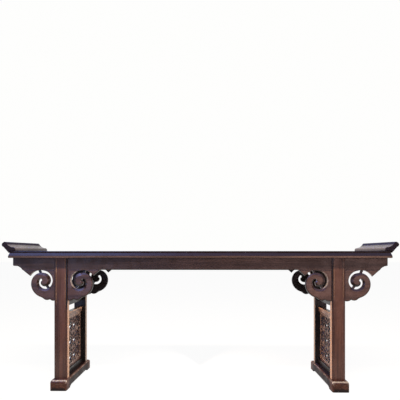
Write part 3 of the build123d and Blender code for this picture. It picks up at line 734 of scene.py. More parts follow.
# %% Legs
def leg():
    """The plan carried from the shoe to the fork, then up both cheeks to the top."""
    plan = leg_plan()
    levels = [(SHOE_TOP, 0.4), (SHOE_TOP + 0.4, 0), (SHOE_TOP + 5, 0),
              (TONE_LOW, 0), (TONE_HIGH, 0), (APRON_BOTTOM, 0)]
    shaft = np.array([np.column_stack([inset(plan, d), np.full(len(plan), z)]) for z, d in levels])
    shaft[:, :, 0] += LEG_CENTRE
    exposed = leg_tone(plan, shaft[:, :, 2])
    points, (sides, bottom, fork), tone = skin(shaft, exposed)
    fork = fork[0]
    head = points[fork] * (1, 1, 0) + (0, 0, UNDER)
    upper = fork + len(plan)
    front = np.flatnonzero(plan[:, 1] <= -BOARD_FACE + 1e-3)
    back = np.concatenate([np.arange(front[-1] + 1, len(plan)), np.arange(front[0])])
    blocks = [sides, bottom]
    for cheek in (front, back):
        a, b = fork[cheek], upper[cheek]
        blocks += [np.stack([a, np.roll(a, -1), np.roll(b, -1), b], -1), b[None]]
    blocks.append(fork[[back[-1], front[0], front[-1], back[0]]][None])
    return np.vstack([points, head]), blocks, np.concatenate([tone, exposed[-1]])


for side, across in SIDES.items():
    for face, way in FACES.items():
        put(f"{face}_{side}_leg", leg(), "leg", [f"leg_{face}_{side}"], "z", (across, way),
            DRESS[face] + "leg")
print("legs:", round(UNDER - SHOE_TOP), "mm from shoe to top")

# %% [markdown]
# ## Carving from a grid
#
# Scrollwork has slots, ties and bevels that no single section can follow. It is a height over
# a flat board, so it is worked on a fine grid: cells that are wood are kept, the grid's points
# along every sawn edge are moved onto the exact outline, and the front and back surfaces are
# joined by a wall. This is how a carver works too: first the fretsaw, then the chisel.


# %% Measuring from lines and rings
def nearest(spots, line):
    """For each spot, the distance to a line, the closest point on it, and how far along it is.

    On the segment from A to B the closest point is A + t (B - A), with t = (P - A).(B - A) /
    |B - A|^2 held between 0 and 1. The place along the line counts in segments.
    """
    start, side = line[:-1], np.diff(line, axis=0)
    gap = spots[:, None] - start[None]
    t = np.clip((gap * side).sum(-1) / np.maximum((side * side).sum(-1), 1e-9), 0, 1)
    off = gap - t[..., None] * side
    squared = (off * off).sum(-1)
    best = squared.argmin(1)
    rows = np.arange(len(spots))
    closest = start[best] + t[rows, best, None] * side[best]
    return np.sqrt(squared[rows, best]), closest, best + t[rows, best]


def least(spots, lines):
    """Distance from each spot to the nearest of several lines."""
    return np.min([nearest(spots, line)[0] for line in lines], 0)


def within(spots, ring):
    """Whether each spot lies in a ring: a ray from it crosses the ring an odd number of times."""
    start, end = ring, np.roll(ring, -1, 0)
    above = start[None, :, 1] > spots[:, None, 1]
    crosses = above != (end[None, :, 1] > spots[:, None, 1])
    rise = np.where(end[:, 1] == start[:, 1], 1, end[:, 1] - start[:, 1])
    at = start[:, 0] + (spots[:, None, 1] - start[:, 1]) * (end[:, 0] - start[:, 0]) / rise
    return (crosses & (spots[:, None, 0] < at)).sum(1) % 2 == 1


print("in a square:", within(np.array([(20, 20), (60, 20)]), SQUARE))


# %% Grid carving
def tidy(keep):
    """Drops whiskers of wood and fills cells, so that no two cells touch by a corner only."""
    for _ in range(3):
        padded = np.pad(keep, 1).astype(int)
        beside = padded[2:, 1:-1] + padded[:-2, 1:-1] + padded[1:-1, 2:] + padded[1:-1, :-2]
        keep = keep & (beside >= 2)
        a, b, c, d = keep[:-1, :-1], keep[1:, 1:], keep[1:, :-1], keep[:-1, 1:]
        fill_c, fill_a = a & b & ~c & ~d, c & d & ~a & ~b
        keep[1:, :-1] |= fill_c
        keep[:-1, :-1] |= fill_a
    return keep


def grid_index(keep):
    """Number of each grid point that touches wood, and whether it also touches air."""
    padded = np.pad(keep, 1).astype(int)
    count = padded[:-1, :-1] + padded[1:, :-1] + padded[:-1, 1:] + padded[1:, 1:]
    number = np.where(count > 0, np.cumsum(count.ravel() > 0).reshape(count.shape) - 1, -1)
    return number, (count > 0) & (count < 4)


def split(quads, spots):
    """Each quad as two triangles, cut along whichever diagonal leaves the fuller pair."""
    def area(a, b, c):
        p, q = spots[quads[:, b]] - spots[quads[:, a]], spots[quads[:, c]] - spots[quads[:, a]]
        return p[:, 0] * q[:, 1] - p[:, 1] * q[:, 0]
    one = np.minimum(area(0, 1, 2), area(0, 2, 3))
    other = np.minimum(area(0, 1, 3), area(1, 2, 3))
    first = np.where((one >= other)[:, None], quads[:, [0, 1, 2]], quads[:, [0, 1, 3]])
    second = np.where((one >= other)[:, None], quads[:, [0, 2, 3]], quads[:, [1, 2, 3]])
    return np.vstack([first, second])


def carved(keep, number, border, spots):
    """Faces of a carved board: the front grid, the back grid and the walls round every gap.

    The back has the front's numbers plus the number of points.
    """
    i, j = np.nonzero(keep)
    front = np.column_stack(
        [number[i, j], number[i + 1, j], number[i + 1, j + 1], number[i, j + 1]])
    touching = border.ravel()[number.ravel() >= 0][front].any(1)
    quads, pairs = front[~touching], split(front[touching], spots)
    padded = np.pad(keep, 1).astype(int)
    back = len(spots)
    walls = []
    for step, change in (((1, 0), padded[1:-1, 1:] - padded[1:-1, :-1]),
                         ((0, 1), padded[:-1, 1:-1] - padded[1:, 1:-1])):
        for sign in (1, -1):
            p, q = np.nonzero(change == sign)
            a, b = (number[p, q], number[p + step[0], q + step[1]])[::sign]
            walls.append(np.column_stack([b, a, a + back, b + back]))
    return [quads, quads[:, ::-1] + back, pairs, pairs[:, ::-1] + back, np.vstack(walls)]


cells = np.ones((3, 3), bool)
print("3 by 3 cells of wood have", grid_index(cells)[1].sum(), "points at their edge")

# %% [markdown]
# ## Cloud scrolls
#
# Beside each leg hangs a spandrel whose lower half curls round an eye. Rim, slot and lip are
# spirals whose radius falls in proportion to the angle, as from a string unwinding, so a few
# numbers draw them all. A slot is sawn through along two of the spirals, and two small ties
# bridge it. The edges of the coil are bevelled with a chisel, wide where the coil is wide, and
# the free rim is rounded over. The scrolls were cut by hand and differ a little: one coil has
# a deeper bevel. Light and shade are painted on them: on the inner ones the slot's side towards
# the leg is painted pale as lit, the back edges of every slot's walls are painted pale as lit,
# the lip carries a painted highlight, and the ties are painted dark as shade. A dark line along
# the joints with the leg and the apron is partly the joint's own dark and partly painted shadow.

# %% Spirals of a spandrel
SCROLLS = {  # eye and upper corner from the leg, pitch of the lip, angle of its tip, bevel, painted light on the slot's side towards the leg
    ("left", "outer"): dict(eye=72.0, ogee=206.0, lip=120.0, tip=23.0, bevel=5.0, tone_mark=False),
    ("left", "inner"): dict(eye=79.0, ogee=206.0, lip=115.0, tip=25.0, bevel=8.0, tone_mark=True),
    ("right", "outer"): dict(eye=81.5, ogee=217.0, lip=135.0, tip=21.0, bevel=5.0, tone_mark=False),
    ("right", "inner"): dict(eye=82.0, ogee=206.0, lip=115.0, tip=25.0, bevel=5.0, tone_mark=True),
}
SPANDREL_FOOT, EYE_HEIGHT = 553.0, 672.0
SLOT_OUT, SLOT_IN, SLOT_PITCH, RIM_PITCH = 70.5, 54.5, 50.0, 95.4
MOUTH_ANGLE, RIM_END, SLOT_END = 10.0, -75.0, 392.0
RIM_POINTS, SLOT_POINTS = 120, 150


def around(eye, radius, angle):
    """Points at a radius and an angle in degrees about an eye."""
    turn = np.radians(angle)
    return np.stack([eye + radius * np.cos(turn), EYE_HEIGHT + radius * np.sin(turn)], -1)


def spiral(eye, pitch, at_top, start, end, count=70):
    """Wall of a scroll: radius = radius above the eye + pitch (90 - angle) / 360."""
    angle = np.linspace(start, end, count)
    return around(eye, at_top + pitch * (90 - angle) / 360, angle)


def scroll_lines(form):
    """The lines of one spandrel as (distance from the leg, height)."""
    eye, corner = form["eye"], (form["ogee"], APRON_BOTTOM)
    lip = spiral(eye, form["lip"], SLOT_OUT, form["tip"], 90)
    rim = spiral(eye, RIM_PITCH, SLOT_IN, 90, RIM_END, RIM_POINTS)
    notch = (eye - 41, SPANDREL_FOOT + 8)
    return {
        "seam": np.array([(0, SPANDREL_FOOT), (0, APRON_BOTTOM), corner]),
        "ogee": np.array([corner, lip[0]]),
        "lip": lip,
        "rim": rim,
        "scallops": np.vstack([
            arc(rim[-1], (eye + 12, SPANDREL_FOOT + 19), (eye + 2, SPANDREL_FOOT + 13)),
            arc((eye + 2, SPANDREL_FOOT + 13), (eye - 21, SPANDREL_FOOT + 2.5), notch),
            arc(notch, ((eye - 41) * 0.45, SPANDREL_FOOT - 2), (0, SPANDREL_FOOT))]),
        "outer wall": spiral(eye, SLOT_PITCH, SLOT_OUT, 90, SLOT_END, SLOT_POINTS),
        "inner wall": spiral(eye, SLOT_PITCH, SLOT_IN, 90, SLOT_END, SLOT_POINTS),
    }


print("rim of a scroll ends", round(SLOT_IN + RIM_PITCH * (90 - RIM_END) / 360), "mm from its eye")

# %% Round end and ties of a slot
SLOT_MIDDLE, BLOB_RADIUS = (SLOT_OUT + SLOT_IN) / 2, 9.0
TIE_ANGLES, TIE_WIDTH, TIE_REACH, TIE_DROP = (69.0, 235.0), 13.0, 13.0, 7.0


def slot_middle(eye, angle):
    """Middle of the slot at an angle, and the directions out from the eye and round it."""
    turn = math.radians(angle)
    out = np.array([math.cos(turn), math.sin(turn)])
    middle = around(eye, SLOT_MIDDLE + SLOT_PITCH * (90 - angle) / 360, angle)
    return middle, out, np.array([-out[1], out[0]])


def slot_end(eye):
    """Round end of the slot, a circle about the middle of its two walls."""
    middle, _, _ = slot_middle(eye, SLOT_END)
    turn = np.linspace(0, 2 * np.pi, 40)
    return middle + BLOB_RADIUS * np.column_stack([np.cos(turn), np.sin(turn)])


def in_tie(eye, spots, slack=0.0):
    """Whether each spot lies in one of the ties that bridge the slot."""
    found = np.zeros(len(spots), bool)
    for angle in TIE_ANGLES:
        middle, out, beside = slot_middle(eye, angle)
        off = spots - middle
        found |= (np.abs(off @ out) < TIE_REACH) & (np.abs(off @ beside) < TIE_WIDTH / 2 + slack)
    return found


def tie_sides(eye):
    """The long edges of the ties."""
    lines = []
    for angle in TIE_ANGLES:
        middle, out, beside = slot_middle(eye, angle)
        ends = np.array([middle - out * TIE_REACH, middle + out * TIE_REACH])
        lines += [ends - beside * TIE_WIDTH / 2, ends + beside * TIE_WIDTH / 2]
    return lines


print("ties cross the slot at", TIE_ANGLES, "degrees round the eye")


# %% Bevels and rims of a spandrel
def round_over(s):
    """Drop of a quarter round at a share s of its width: 1 - sqrt(1 - s^2)."""
    return 1 - np.sqrt(np.clip(1 - s * s, 0, 1))


def scroll_drop(form, lines, spots):
    """How far the carved face lies behind the board's face, and its signed tone, dark above zero
    and painted light below.

    A bevel falls in a straight line and a rim in a quarter round: with s from 0 where it
    starts to 1 at the sawn edge, the drops are D s and D (1 - sqrt(1 - s^2)).
    """
    def away_from(line):
        return nearest(spots, lines[line])[0]

    def near(line, end=SLOT_END, count=SLOT_POINTS):
        away, _, along = nearest(spots, lines[line])
        return away, 90 + along * (end - 90) / (count - 1)

    def share(away, width):
        return np.clip(1 - away / width, 0, 1)

    away, angle = near("inner wall")
    coil = share(away, np.interp(angle, [90, 250, SLOT_END], [17, 14, 7]))
    away, angle = near("outer wall")
    ledge = share(away, np.interp(angle, [200, 222, 310, SLOT_END], [2.5, 15, 14, 6]))
    ledge_depth = np.interp(angle, [200, 222], [1.5, 5])
    # On the inner scrolls a strip along the slot's outer wall, on the side of the leg, is painted
    # pale as lit: painted light.
    lit_slot_side = form["tone_mark"] & (away < 3) & (angle > 110) & (angle < 240)
    away, angle = near("rim", RIM_END, RIM_POINTS)
    bevel = share(away, np.interp(angle, [25, 90], [8, 17]))
    free_rim = np.interp(angle, [30, 80], [1, 0])
    rim = 4.5 * (bevel + (round_over(bevel) - bevel) * free_rim)
    free = np.maximum(share(away_from("ogee"), 6), share(away_from("scallops"), 8))
    lip, from_seam = share(away_from("lip"), 4), away_from("seam")
    drop = np.maximum.reduce([
        form["bevel"] * coil, ledge_depth * ledge, rim, 4.0 * round_over(free),
        2.0 * round_over(lip), 0.7 * round_over(share(from_seam, 0.8))])
    bevels = np.maximum.reduce([coil, ledge * (ledge_depth > 3), bevel * (1 - free_rim)])
    dark = np.maximum(bevel ** 1.5 * free_rim, free ** 1.5)
    dark = np.maximum(dark, 0.55 * np.clip(4 * bevels, 0, 1))
    # A pale line along the lip is a painted highlight. The dark line along the joints with the leg
    # and the apron is partly the joint's own dark and partly painted shadow.
    tone = np.maximum(dark, share(from_seam, 4)) - 0.9 * lip * (dark < 0.1)
    return drop, np.where(lit_slot_side, -0.9, tone)


print("a round drops by", round_over(0.5).round(3), "of its depth half way")


# %% Carving a spandrel
def snapped(spots, at_edge, lines, corners):
    """The spots, with those at a sawn edge moved onto the nearest line and one onto each corner."""
    found = [nearest(spots[at_edge], line) for line in lines]
    best = np.argmin([away for away, _, _ in found], 0)
    spots[at_edge] = np.array([closest for _, closest, _ in found])[best, np.arange(len(at_edge))]
    for corner in corners:
        spots[at_edge[np.linalg.norm(spots[at_edge] - corner, axis=1).argmin()]] = corner
    return spots


def spandrel(form, step=1.5):
    """A front spandrel with its leg side at 0, as points (distance from the leg, depth, height)."""
    eye, lines, blob = form["eye"], scroll_lines(form), slot_end(form["eye"])
    ring = joined(lines["seam"][:-1], lines["ogee"], lines["lip"], lines["rim"], lines["scallops"])
    slot = joined(spiral(eye, form["lip"], SLOT_OUT, MOUTH_ANGLE, 90, 30), lines["outer wall"],
                  lines["inner wall"][::-1], spiral(eye, RIM_PITCH, SLOT_IN, 90, MOUTH_ANGLE, 30))
    u, z = np.meshgrid(np.arange(-step, form["ogee"] + 2 * step, step),
                       np.arange(SPANDREL_FOOT - 6, APRON_BOTTOM + 2 * step, step), indexing="ij")
    centre = np.column_stack([(u[1:, 1:] - step / 2).ravel(), (z[1:, 1:] - step / 2).ravel()])
    wood = within(centre, ring) & ~within(centre, slot) & ~within(centre, blob)
    keep = tidy((wood | in_tie(eye, centre)).reshape(u.shape[0] - 1, -1))
    number, border = grid_index(keep)
    used = number.ravel() >= 0
    spots = np.column_stack([u.ravel(), z.ravel()])[used]
    at_edge = np.flatnonzero(border.ravel()[used])
    edges, corners = (*lines.values(), blob, *tie_sides(eye)), (*lines["seam"], lines["ogee"][1])
    spots = snapped(spots, at_edge, edges, corners)
    drop, tone = scroll_drop(form, lines, spots)
    walls = lines["outer wall"], lines["inner wall"]
    in_slot = within(spots, slot) | (least(spots, walls) < 0.2)
    tied = in_slot & in_tie(eye, spots, 0.1)
    # The ties are set back and painted fully dark: painted shade.
    drop, tone = np.where(tied, TIE_DROP, drop), np.where(tied, 1.0, tone)
    away = least(spots, [lines[key] for key in ("ogee", "lip", "rim", "scallops", "inner wall")])
    behind = 1.5 * round_over(np.clip(1 - away / 3, 0, 1))
    front = np.column_stack([spots[:, 0], -BOARD_FACE + drop, spots[:, 1]])
    rear = np.column_stack([spots[:, 0], -BOARD_BACK - behind, spots[:, 1]])
    # At the back, the slot's edges are painted pale as lit, so the back half of its walls shows
    # painted light.
    rear_with_lit_walls = np.where(in_slot & (tone < 0.9), -0.6, tone)
    tone = np.concatenate([tone, rear_with_lit_walls])
    return np.vstack([front, rear]), carved(keep, number, border, spots), tone


for (side, position), form in SCROLLS.items():
    points, faces, tone = spandrel(form)
    across = LEG_OUT + points[:, 0] if position == "outer" else LEG_IN - points[:, 0]
    placed = np.column_stack([across, points[:, 1:]]), faces, tone
    for face, way in FACES.items():
        put(f"{face}_{side}_{position}_scroll", placed, "spandrel",
            [f"spandrel_{face}_{side}_{position}"], "x", (SIDES[side], way),
            DRESS[face] + "spandrel")
    print(side, position, "scroll:", len(points), "points")

# %% [markdown]
# ## Side frames
#
# Three rails tie each front leg to its back leg. The upper rail stands clear of the middle one
# and leaves a narrow window. They are plain bars with softened edges. The middle rail is
# painted pale as lit, most of all on top, and the other two are painted nearly black as shade.

# %% Rails of the side frames
# The upper and lower rails take the finish painted nearly black as shade.
for level, dress in (("upper", "painted_shade_rail"), ("middle", "side_rail"), ("lower", "painted_shade_rail")):
    low, high = box(f"side_{level}_rail_right")
    low[1], high[1] = -LEG_BACK, LEG_BACK
    points, blocks, exposed = bar(low, high, "y", 2.0, 0.4)
    if level == "middle":
        # The middle rail is painted pale as lit, most on its top: painted light.
        exposed = np.where(points[:, 2] > high[2] - 3, -0.95, -0.42)
    for side, way in SIDES.items():
        put(f"{side}_{level}_rail", (points, blocks, exposed), "side_rail",
            [f"side_{level}_rail_{side}"], "y", (way, 1), dress)
    print(level, "rail:", round(low[2]), "to", round(high[2]), "mm above the floor")

# %% [markdown]
# ## Pierced panels
#
# The panel between the middle and the lower rail is carved through in scrolling foliage, the
# common pattern of such tables: a stem in the middle, a pair of scrolls in each of three rows
# with a flower in each eye, leaves that fill the corners, and larger flowers on the stem
# between the rows. The carving is the highest of many small mounds, each worked out from a
# distance, and whatever stays too low is cut away. Its hollows are painted dark as shade and its
# crests painted pale as highlights.

# %% Mounds of the foliage
PANEL_LOW, PANEL_HIGH = box("side_lower_rail_right")[1][2], box("side_middle_rail_right")[0][2]
PANEL_BORDER, ROWS = 15.0, 3
ROW_PITCH = (PANEL_HIGH - PANEL_LOW - 2 * PANEL_BORDER) / ROWS
SCROLL_RADIUS, EYE_RADIUS = ROW_PITCH / 2 - 3, 14.0
SCROLL_AT = LEG_BACK - PANEL_BORDER - SCROLL_RADIUS - 2
OUTER_LEAVES = (  # angle, length and width of the leaves outside the curling stem
    (150, 26, 20), (118, 40, 26), (82, 20, 22), (48, 36, 26), (14, 20, 20),
    (-20, 28, 24), (-52, 46, 32), (-88, 30, 30), (-118, 46, 32), (-150, 42, 26))


def rib(spots, line, widths, crest=0.85, groove=0.22):
    """A stem: (1 - (d / w)^2) raised over the distance d from its line, with a groove along it."""
    away, _, along = nearest(spots, line)
    width = np.interp(along, [0, len(line) - 1], widths)
    return crest * (1 - (away / width) ** 2) - groove * np.exp(-(away / 1.3) ** 2)


def leaf(spots, foot, angle, length, width, crest=0.9):
    """A leaf: across it a mound as wide as sin(pi s)^0.7, s being the share of its length.

    A groove runs along its middle and shallow veins slant away from that.
    """
    turn = math.radians(angle)
    out = np.array([math.cos(turn), math.sin(turn)])
    along = (spots - foot) @ out / length
    across = (spots - foot) @ np.array([-out[1], out[0]])
    s = np.clip(along, 0, 1)
    half = width / 2 * np.sin(np.pi * np.clip(s, 0.02, 0.98)) ** 0.7
    past = np.maximum(np.abs(along - 0.5) - 0.5, 0) * length
    mound = 1 - (across / half) ** 2 - (past / 3) ** 2
    veins = 0.07 * np.cos((s * length - np.abs(across)) * 1.6) - 0.28 * np.exp(-(across / 1.1) ** 2)
    return crest * mound + veins * (mound > 0)


def flower(spots, middle, radius, petals, turn=0.0):
    """A flower: its reach swells and shrinks as cos(petals angle), round a small dome."""
    off = spots - middle
    away = np.hypot(off[:, 0], off[:, 1])
    angle = np.arctan2(off[:, 1], off[:, 0]) + math.radians(turn)
    reach = radius * (0.86 + 0.14 * np.cos(petals * angle))
    cup = (1 - (away / reach) ** 4) * (0.72 + 0.28 * (away / reach) ** 2)
    seam = 0.3 * np.exp(-(np.cos(petals * angle / 2) * away / 1.3) ** 2) * (away > 0.3 * radius)
    dome = 1.05 * (1 - (away / (0.3 * radius)) ** 2)
    return np.maximum(cup - seam, dome)


def vine_reach(angle):
    """Distance of the curling stem from its eye: it shrinks as the 1.6th power of the way round."""
    return SCROLL_RADIUS - (SCROLL_RADIUS - EYE_RADIUS) * ((180 - angle) / 450) ** 1.6


print(len(OUTER_LEAVES), "leaves round each scroll,", round(2 * SCROLL_RADIUS), "mm across")


# %% The foliage together
def from_frame(spots):
    """Distance of each spot from the panel's outer edge."""
    return np.minimum.reduce([
        LEG_BACK - np.abs(spots[:, 0]), spots[:, 1] - PANEL_LOW, PANEL_HIGH - spots[:, 1]])


def foliage(spots):
    """The carving's height over one half of the panel, about 1 at its crests."""
    row = (spots[:, 1] - PANEL_LOW - PANEL_BORDER) / ROW_PITCH
    local = np.column_stack([spots[:, 0], (row - np.floor(row) - 0.5) * ROW_PITCH])
    angle = np.linspace(180, -270, 90)
    turn, reach = np.radians(angle), vine_reach(angle)
    vine = np.column_stack([SCROLL_AT + reach * np.cos(turn), reach * np.sin(turn)])
    mounds = [
        rib(local, np.array([(0, -ROW_PITCH), (0, ROW_PITCH)]), (7, 7)),
        rib(local, np.array([(0, 0), (SCROLL_AT - SCROLL_RADIUS, 0)]), (6, 6)),
        rib(local, vine, (6.5, 5)),
        flower(local, (SCROLL_AT, 0), 16, 6),
    ]

    def sprout(angle, radius, lean, length, width, crest):
        turn = math.radians(angle)
        foot = (SCROLL_AT + radius * math.cos(turn), radius * math.sin(turn))
        mounds.append(leaf(local, foot, angle + lean, length, width, crest))

    for angle in range(20, 380, 45):
        sprout(angle, 13, -42, 32, 13, 0.8)
    for angle, length, width in OUTER_LEAVES:
        sprout(angle, vine_reach(angle) - 4, -16 if angle > 0 else 16, length, width, 0.92)
    for way in (-1, 1):
        mounds.append(flower(local, (0, way * ROW_PITCH / 2), 25, 4, 45))
        mounds.append(leaf(local, (13, way * (ROW_PITCH / 2 - 1)), -way * 12, 40, 18))
        mounds.append(leaf(local, (4, way * 9), way * 42, 38, 20))
    rim = from_frame(spots) - PANEL_BORDER
    border = np.where(rim < 0, 1.0, 1 - (rim / 2.5) ** 2)
    border = np.where((rim < -3) & (rim > -5), 0.8, border)
    return np.where((row < 0) | (row > ROWS), border, np.maximum.reduce([*mounds, border]))


first_eye = np.array([(SCROLL_AT, PANEL_LOW + PANEL_BORDER + ROW_PITCH / 2)])
print("height in the eye of a scroll:", foliage(first_eye)[0].round(2))


# %% Carving a panel
CUT_LEVEL, HIGHEST = 0.16, 1.05
PANEL_HALF, THIN_SHARE = 7.0, 0.32


def panel(step=1.55):
    """A pierced panel as points (across the table's depth, thickness, height).

    The surface stands off the middle by 7 (0.32 + 0.68 share^0.7), with the share of the way
    from the level where wood is cut away to the highest crest.
    """
    y = np.linspace(0, LEG_BACK, round(LEG_BACK / step) + 1)
    z = np.linspace(PANEL_LOW, PANEL_HIGH, round((PANEL_HIGH - PANEL_LOW) / step) + 1)
    half = np.stack(np.meshgrid(y, z, indexing="ij"), -1)
    height = foliage(half.reshape(-1, 2)).reshape(len(y), len(z))
    height, y = np.concatenate([height[:0:-1], height]), np.concatenate([-y[:0:-1], y])
    spots = np.stack(np.meshgrid(y, z, indexing="ij"), -1)
    middle = (height[1:, 1:] + height[:-1, 1:] + height[1:, :-1] + height[:-1, :-1]) / 4
    keep = tidy(middle > CUT_LEVEL)
    number, border = grid_index(keep)
    slope = np.stack(np.gradient(height, y, z), -1)
    move = ((CUT_LEVEL - height) / (slope ** 2).sum(-1).clip(1e-3))[..., None] * slope
    move *= np.minimum(1, 1.0 / np.maximum(np.linalg.norm(move, axis=-1, keepdims=True), 1e-6))
    inner = border.copy()
    inner[[0, -1]] = inner[:, [0, -1]] = False
    spots, height = spots + move * inner[..., None], np.where(inner, CUT_LEVEL, height)
    used = number.ravel() >= 0
    spots, height = spots.reshape(-1, 2)[used], height.ravel()[used].clip(CUT_LEVEL, HIGHEST)
    share = (height - CUT_LEVEL) / (HIGHEST - CUT_LEVEL)
    thick = PANEL_HALF * (THIN_SHARE + (1 - THIN_SHARE) * share ** 0.7)
    front = np.column_stack([LEG_CENTRE - thick, spots[:, 0], spots[:, 1]])
    rear = np.column_stack([LEG_CENTRE + thick, spots[:, 0], spots[:, 1]])
    # Painted shade and highlight: the hollows of the carving are made dark and its crests pale, and
    # the border takes a little of the pale tone, its upper strip more.
    tone = 0.9 - 1.8 * np.clip((height - 0.5) / 0.45, 0, 1)
    on_border = np.where(spots[:, 1] > PANEL_HIGH - PANEL_BORDER, -0.45, -0.1)
    tone = np.tile(np.where(from_frame(spots) < PANEL_BORDER, on_border, tone), 2)
    return np.vstack([front, rear]), carved(keep, number, border, spots), tone


shape = panel()
for side, way in SIDES.items():
    put(f"{side}_pierced_panel", shape, "carved_panel", [f"carved_panel_{side}"], "z", (way, 1))
print("panel:", len(shape[0]), "points,", sum(len(block) for block in shape[1]), "faces")

# %% [markdown]
# ## Shoes
#
# Each side frame stands in a shoe, a heavy block with a foot at both ends and a low arch
# between. It is a stack of rounded rectangles from front to back. Their width, top and bottom
# are functions of the place along the shoe: the top falls in a quarter circle at the ends, and
# the bottom rises behind the feet in two small curves. The crowns and the arrises along the top
# are painted pale as a highlight, the sides and the top between the legs are painted dark as
# shade, and the foot of the sides darkest, a painted contact shadow.

# %% Places along a shoe
shoe_low, shoe_high = box("shoe_right")
SHOE_HALF, SHOE_HEIGHT, SHOE_WIDE = shoe_high[1], shoe_high[2], (shoe_high[0] - shoe_low[0]) / 2
CROWN, PAD, END_CORNER, TOP_EASE, BITE = 18.0, 62.0, 8.0, 9.0, 1.6


def along_shoe():
    """Places along the shoe, its half width, top and bottom there, and the distance to its end."""
    pad = SHOE_HALF - PAD
    turn = np.radians(np.linspace(0, 90, 10))
    crown = SHOE_HALF - CROWN * (1 - np.cos(turn)), SHOE_HEIGHT - CROWN * (1 - np.sin(turn))
    arch = np.vstack([
        [(pad, 0)], arc((pad, 0), (pad - 2, 6), (pad - 9, 8)),
        arc((pad - 9, 8), (pad - 15, 11.5), (pad - 24, 13)), [(0, 13)]])
    near_end, near_pad = SHOE_HALF - np.array([0.7, 2, 4, 30]), [pad + 0.6, pad - 60]
    place = np.concatenate([crown[0], near_end, arch[:, 0], near_pad])
    place = np.unique(np.round(place, 3))[::-1]
    place = np.concatenate([place, -place[-2::-1]])
    end = SHOE_HALF - np.abs(place)
    top = np.interp(-np.abs(place), -crown[0], crown[1])
    bottom = np.interp(-np.abs(place), -arch[:, 0], arch[:, 1])
    inside = np.clip(END_CORNER - end, 0, END_CORNER)
    width = SHOE_WIDE - END_CORNER + np.sqrt(END_CORNER ** 2 - inside ** 2)
    return place, width, top, bottom, end


print("shoe:", round(2 * SHOE_HALF), "mm long, with", len(along_shoe()[0]), "rings")


# %% Shoes
def shoe_tone(rings, top, bottom, end):
    """Signed value: crowns and top arrises painted pale as highlight, sides and middle of the top
    painted dark as shade, darkest near the floor as a painted contact shadow.
    """
    arris = np.array([exposure(ring[:, [0, 2]], 4.0) for ring in rings])
    crown = np.exp(-((end - 10) / 7) ** 2)[:, None]
    # Painted shade: the flat top and the sides darken away from the ends, and the foot of the sides
    # is a painted contact shadow.
    shade_on_top = np.interp(end, [40, 110], [0, 0.9])[:, None]
    shaded = np.interp(end, [20, 75], [0, 0.9])[:, None]
    contact_shadow = np.clip(1 - (rings[:, :, 2] - bottom[:, None] - 2) / 6, shaded, 1)
    # Painted highlight: the crowns and the arrises along the top are made pale.
    tone_mark = -0.8 * np.maximum(arris, crown)
    tone_mark = np.where((arris < 0.1) & (crown < 0.3), np.maximum(tone_mark, shade_on_top), tone_mark)
    return np.where(rings[:, :, 2] > top[:, None] - TOP_EASE, tone_mark, np.maximum(arris, contact_shadow))


def shoe():
    """Rounded rectangles whose height, width and foot follow the place along the shoe."""
    place, width, top, bottom, end = along_shoe()
    corner = np.radians(np.linspace(0, 90, 7))
    low_corner = corner[::2]
    x = np.concatenate([[-TOP_EASE - 6], -TOP_EASE + TOP_EASE * np.sin(corner), [0, 0],
                        -BITE + BITE * np.cos(low_corner)])
    z_top = np.concatenate([[0], -TOP_EASE + TOP_EASE * np.cos(corner)])[None] + top[:, None]
    z_side = np.stack([top - TOP_EASE - 5, bottom + BITE + 5], 1)
    z_low = (BITE - BITE * np.sin(low_corner))[None] + bottom[:, None]
    across = width[:, None] + x[None]
    right = np.stack([across, np.broadcast_to(place[:, None], across.shape),
                      np.concatenate([z_top, z_side, z_low], 1)], -1)
    rings = np.concatenate([right, right[:, ::-1] * (-1, 1, 1)], 1)
    return skin(rings + (LEG_CENTRE, 0, 0), shoe_tone(rings, top, bottom, end))


shape = shoe()
for side, way in SIDES.items():
    put(f"{side}_shoe", shape, "shoe", [f"shoe_{side}"], "y", (way, 1))
print("shoe:", len(shape[0]), "points")

# %% [markdown]
# ## Floor, light and background
#
# The table stands on a pale sheet that ends a step in front of it, before a white backdrop. Both
# look the same to the camera, in a reflection and through glass, and the sheet keeps a trace of
# the table's shadow. What lies in front of the table is only ever seen as gloss, so it is the
# dim room that the viewer stands in: a pale wall at eye level, cooler to the left and warmer to
# the right, and a ceiling that turns blue-violet to the left and brightens overhead. One high
# lamp gives the light, with two weak fills in front and two low ones between the side frames.

# %% Floor
FLOOR_REACH, FLOOR_FRONT = 30.0, -0.95


def make_floor():
    """A pale sheet that is seen as a nearly even white and keeps a trace of shadow."""
    mesh = bpy.data.meshes.new("floor")
    mesh.from_pydata([(x, y, 0) for x, y in (
        (-FLOOR_REACH, FLOOR_FRONT), (FLOOR_REACH, FLOOR_FRONT), (FLOOR_REACH, FLOOR_REACH),
        (-FLOOR_REACH, FLOOR_REACH))], [], [(0, 1, 2, 3)])
    floor = bpy.data.objects.new("floor", mesh)
    floor.location.z = -0.0003
    bpy.context.scene.collection.objects.link(floor)
    material = bpy.data.materials.new("pale floor")
    material.use_nodes = True
    tree = material.node_tree
    matt = node(tree, "BsdfDiffuse", Color=(0.6, 0.6, 0.6, 1))
    faint = node(tree, "BsdfDiffuse", Color=(0.08, 0.08, 0.08, 1))
    glow = node(tree, "Emission", Color=(0.945, 0.945, 0.945, 1), Strength=1.0)
    shown = node(tree, "AddShader", i0=faint.outputs[0], i1=glow.outputs[0])
    path = node(tree, "LightPath").outputs
    seen = sums(tree, "MAXIMUM", path["Is Camera Ray"], path["Is Transmission Ray"])
    seen = sums(tree, "MAXIMUM", seen, path["Is Glossy Ray"])
    mixed = node(tree, "MixShader", i0=seen, i1=matt.outputs[0], i2=shown.outputs[0])
    tree.links.new(mixed.outputs[0], tree.nodes["Material Output"].inputs["Surface"])
    mesh.materials.append(material)
    print("floor starts", -FLOOR_FRONT, "m in front of the table's middle")


make_floor()


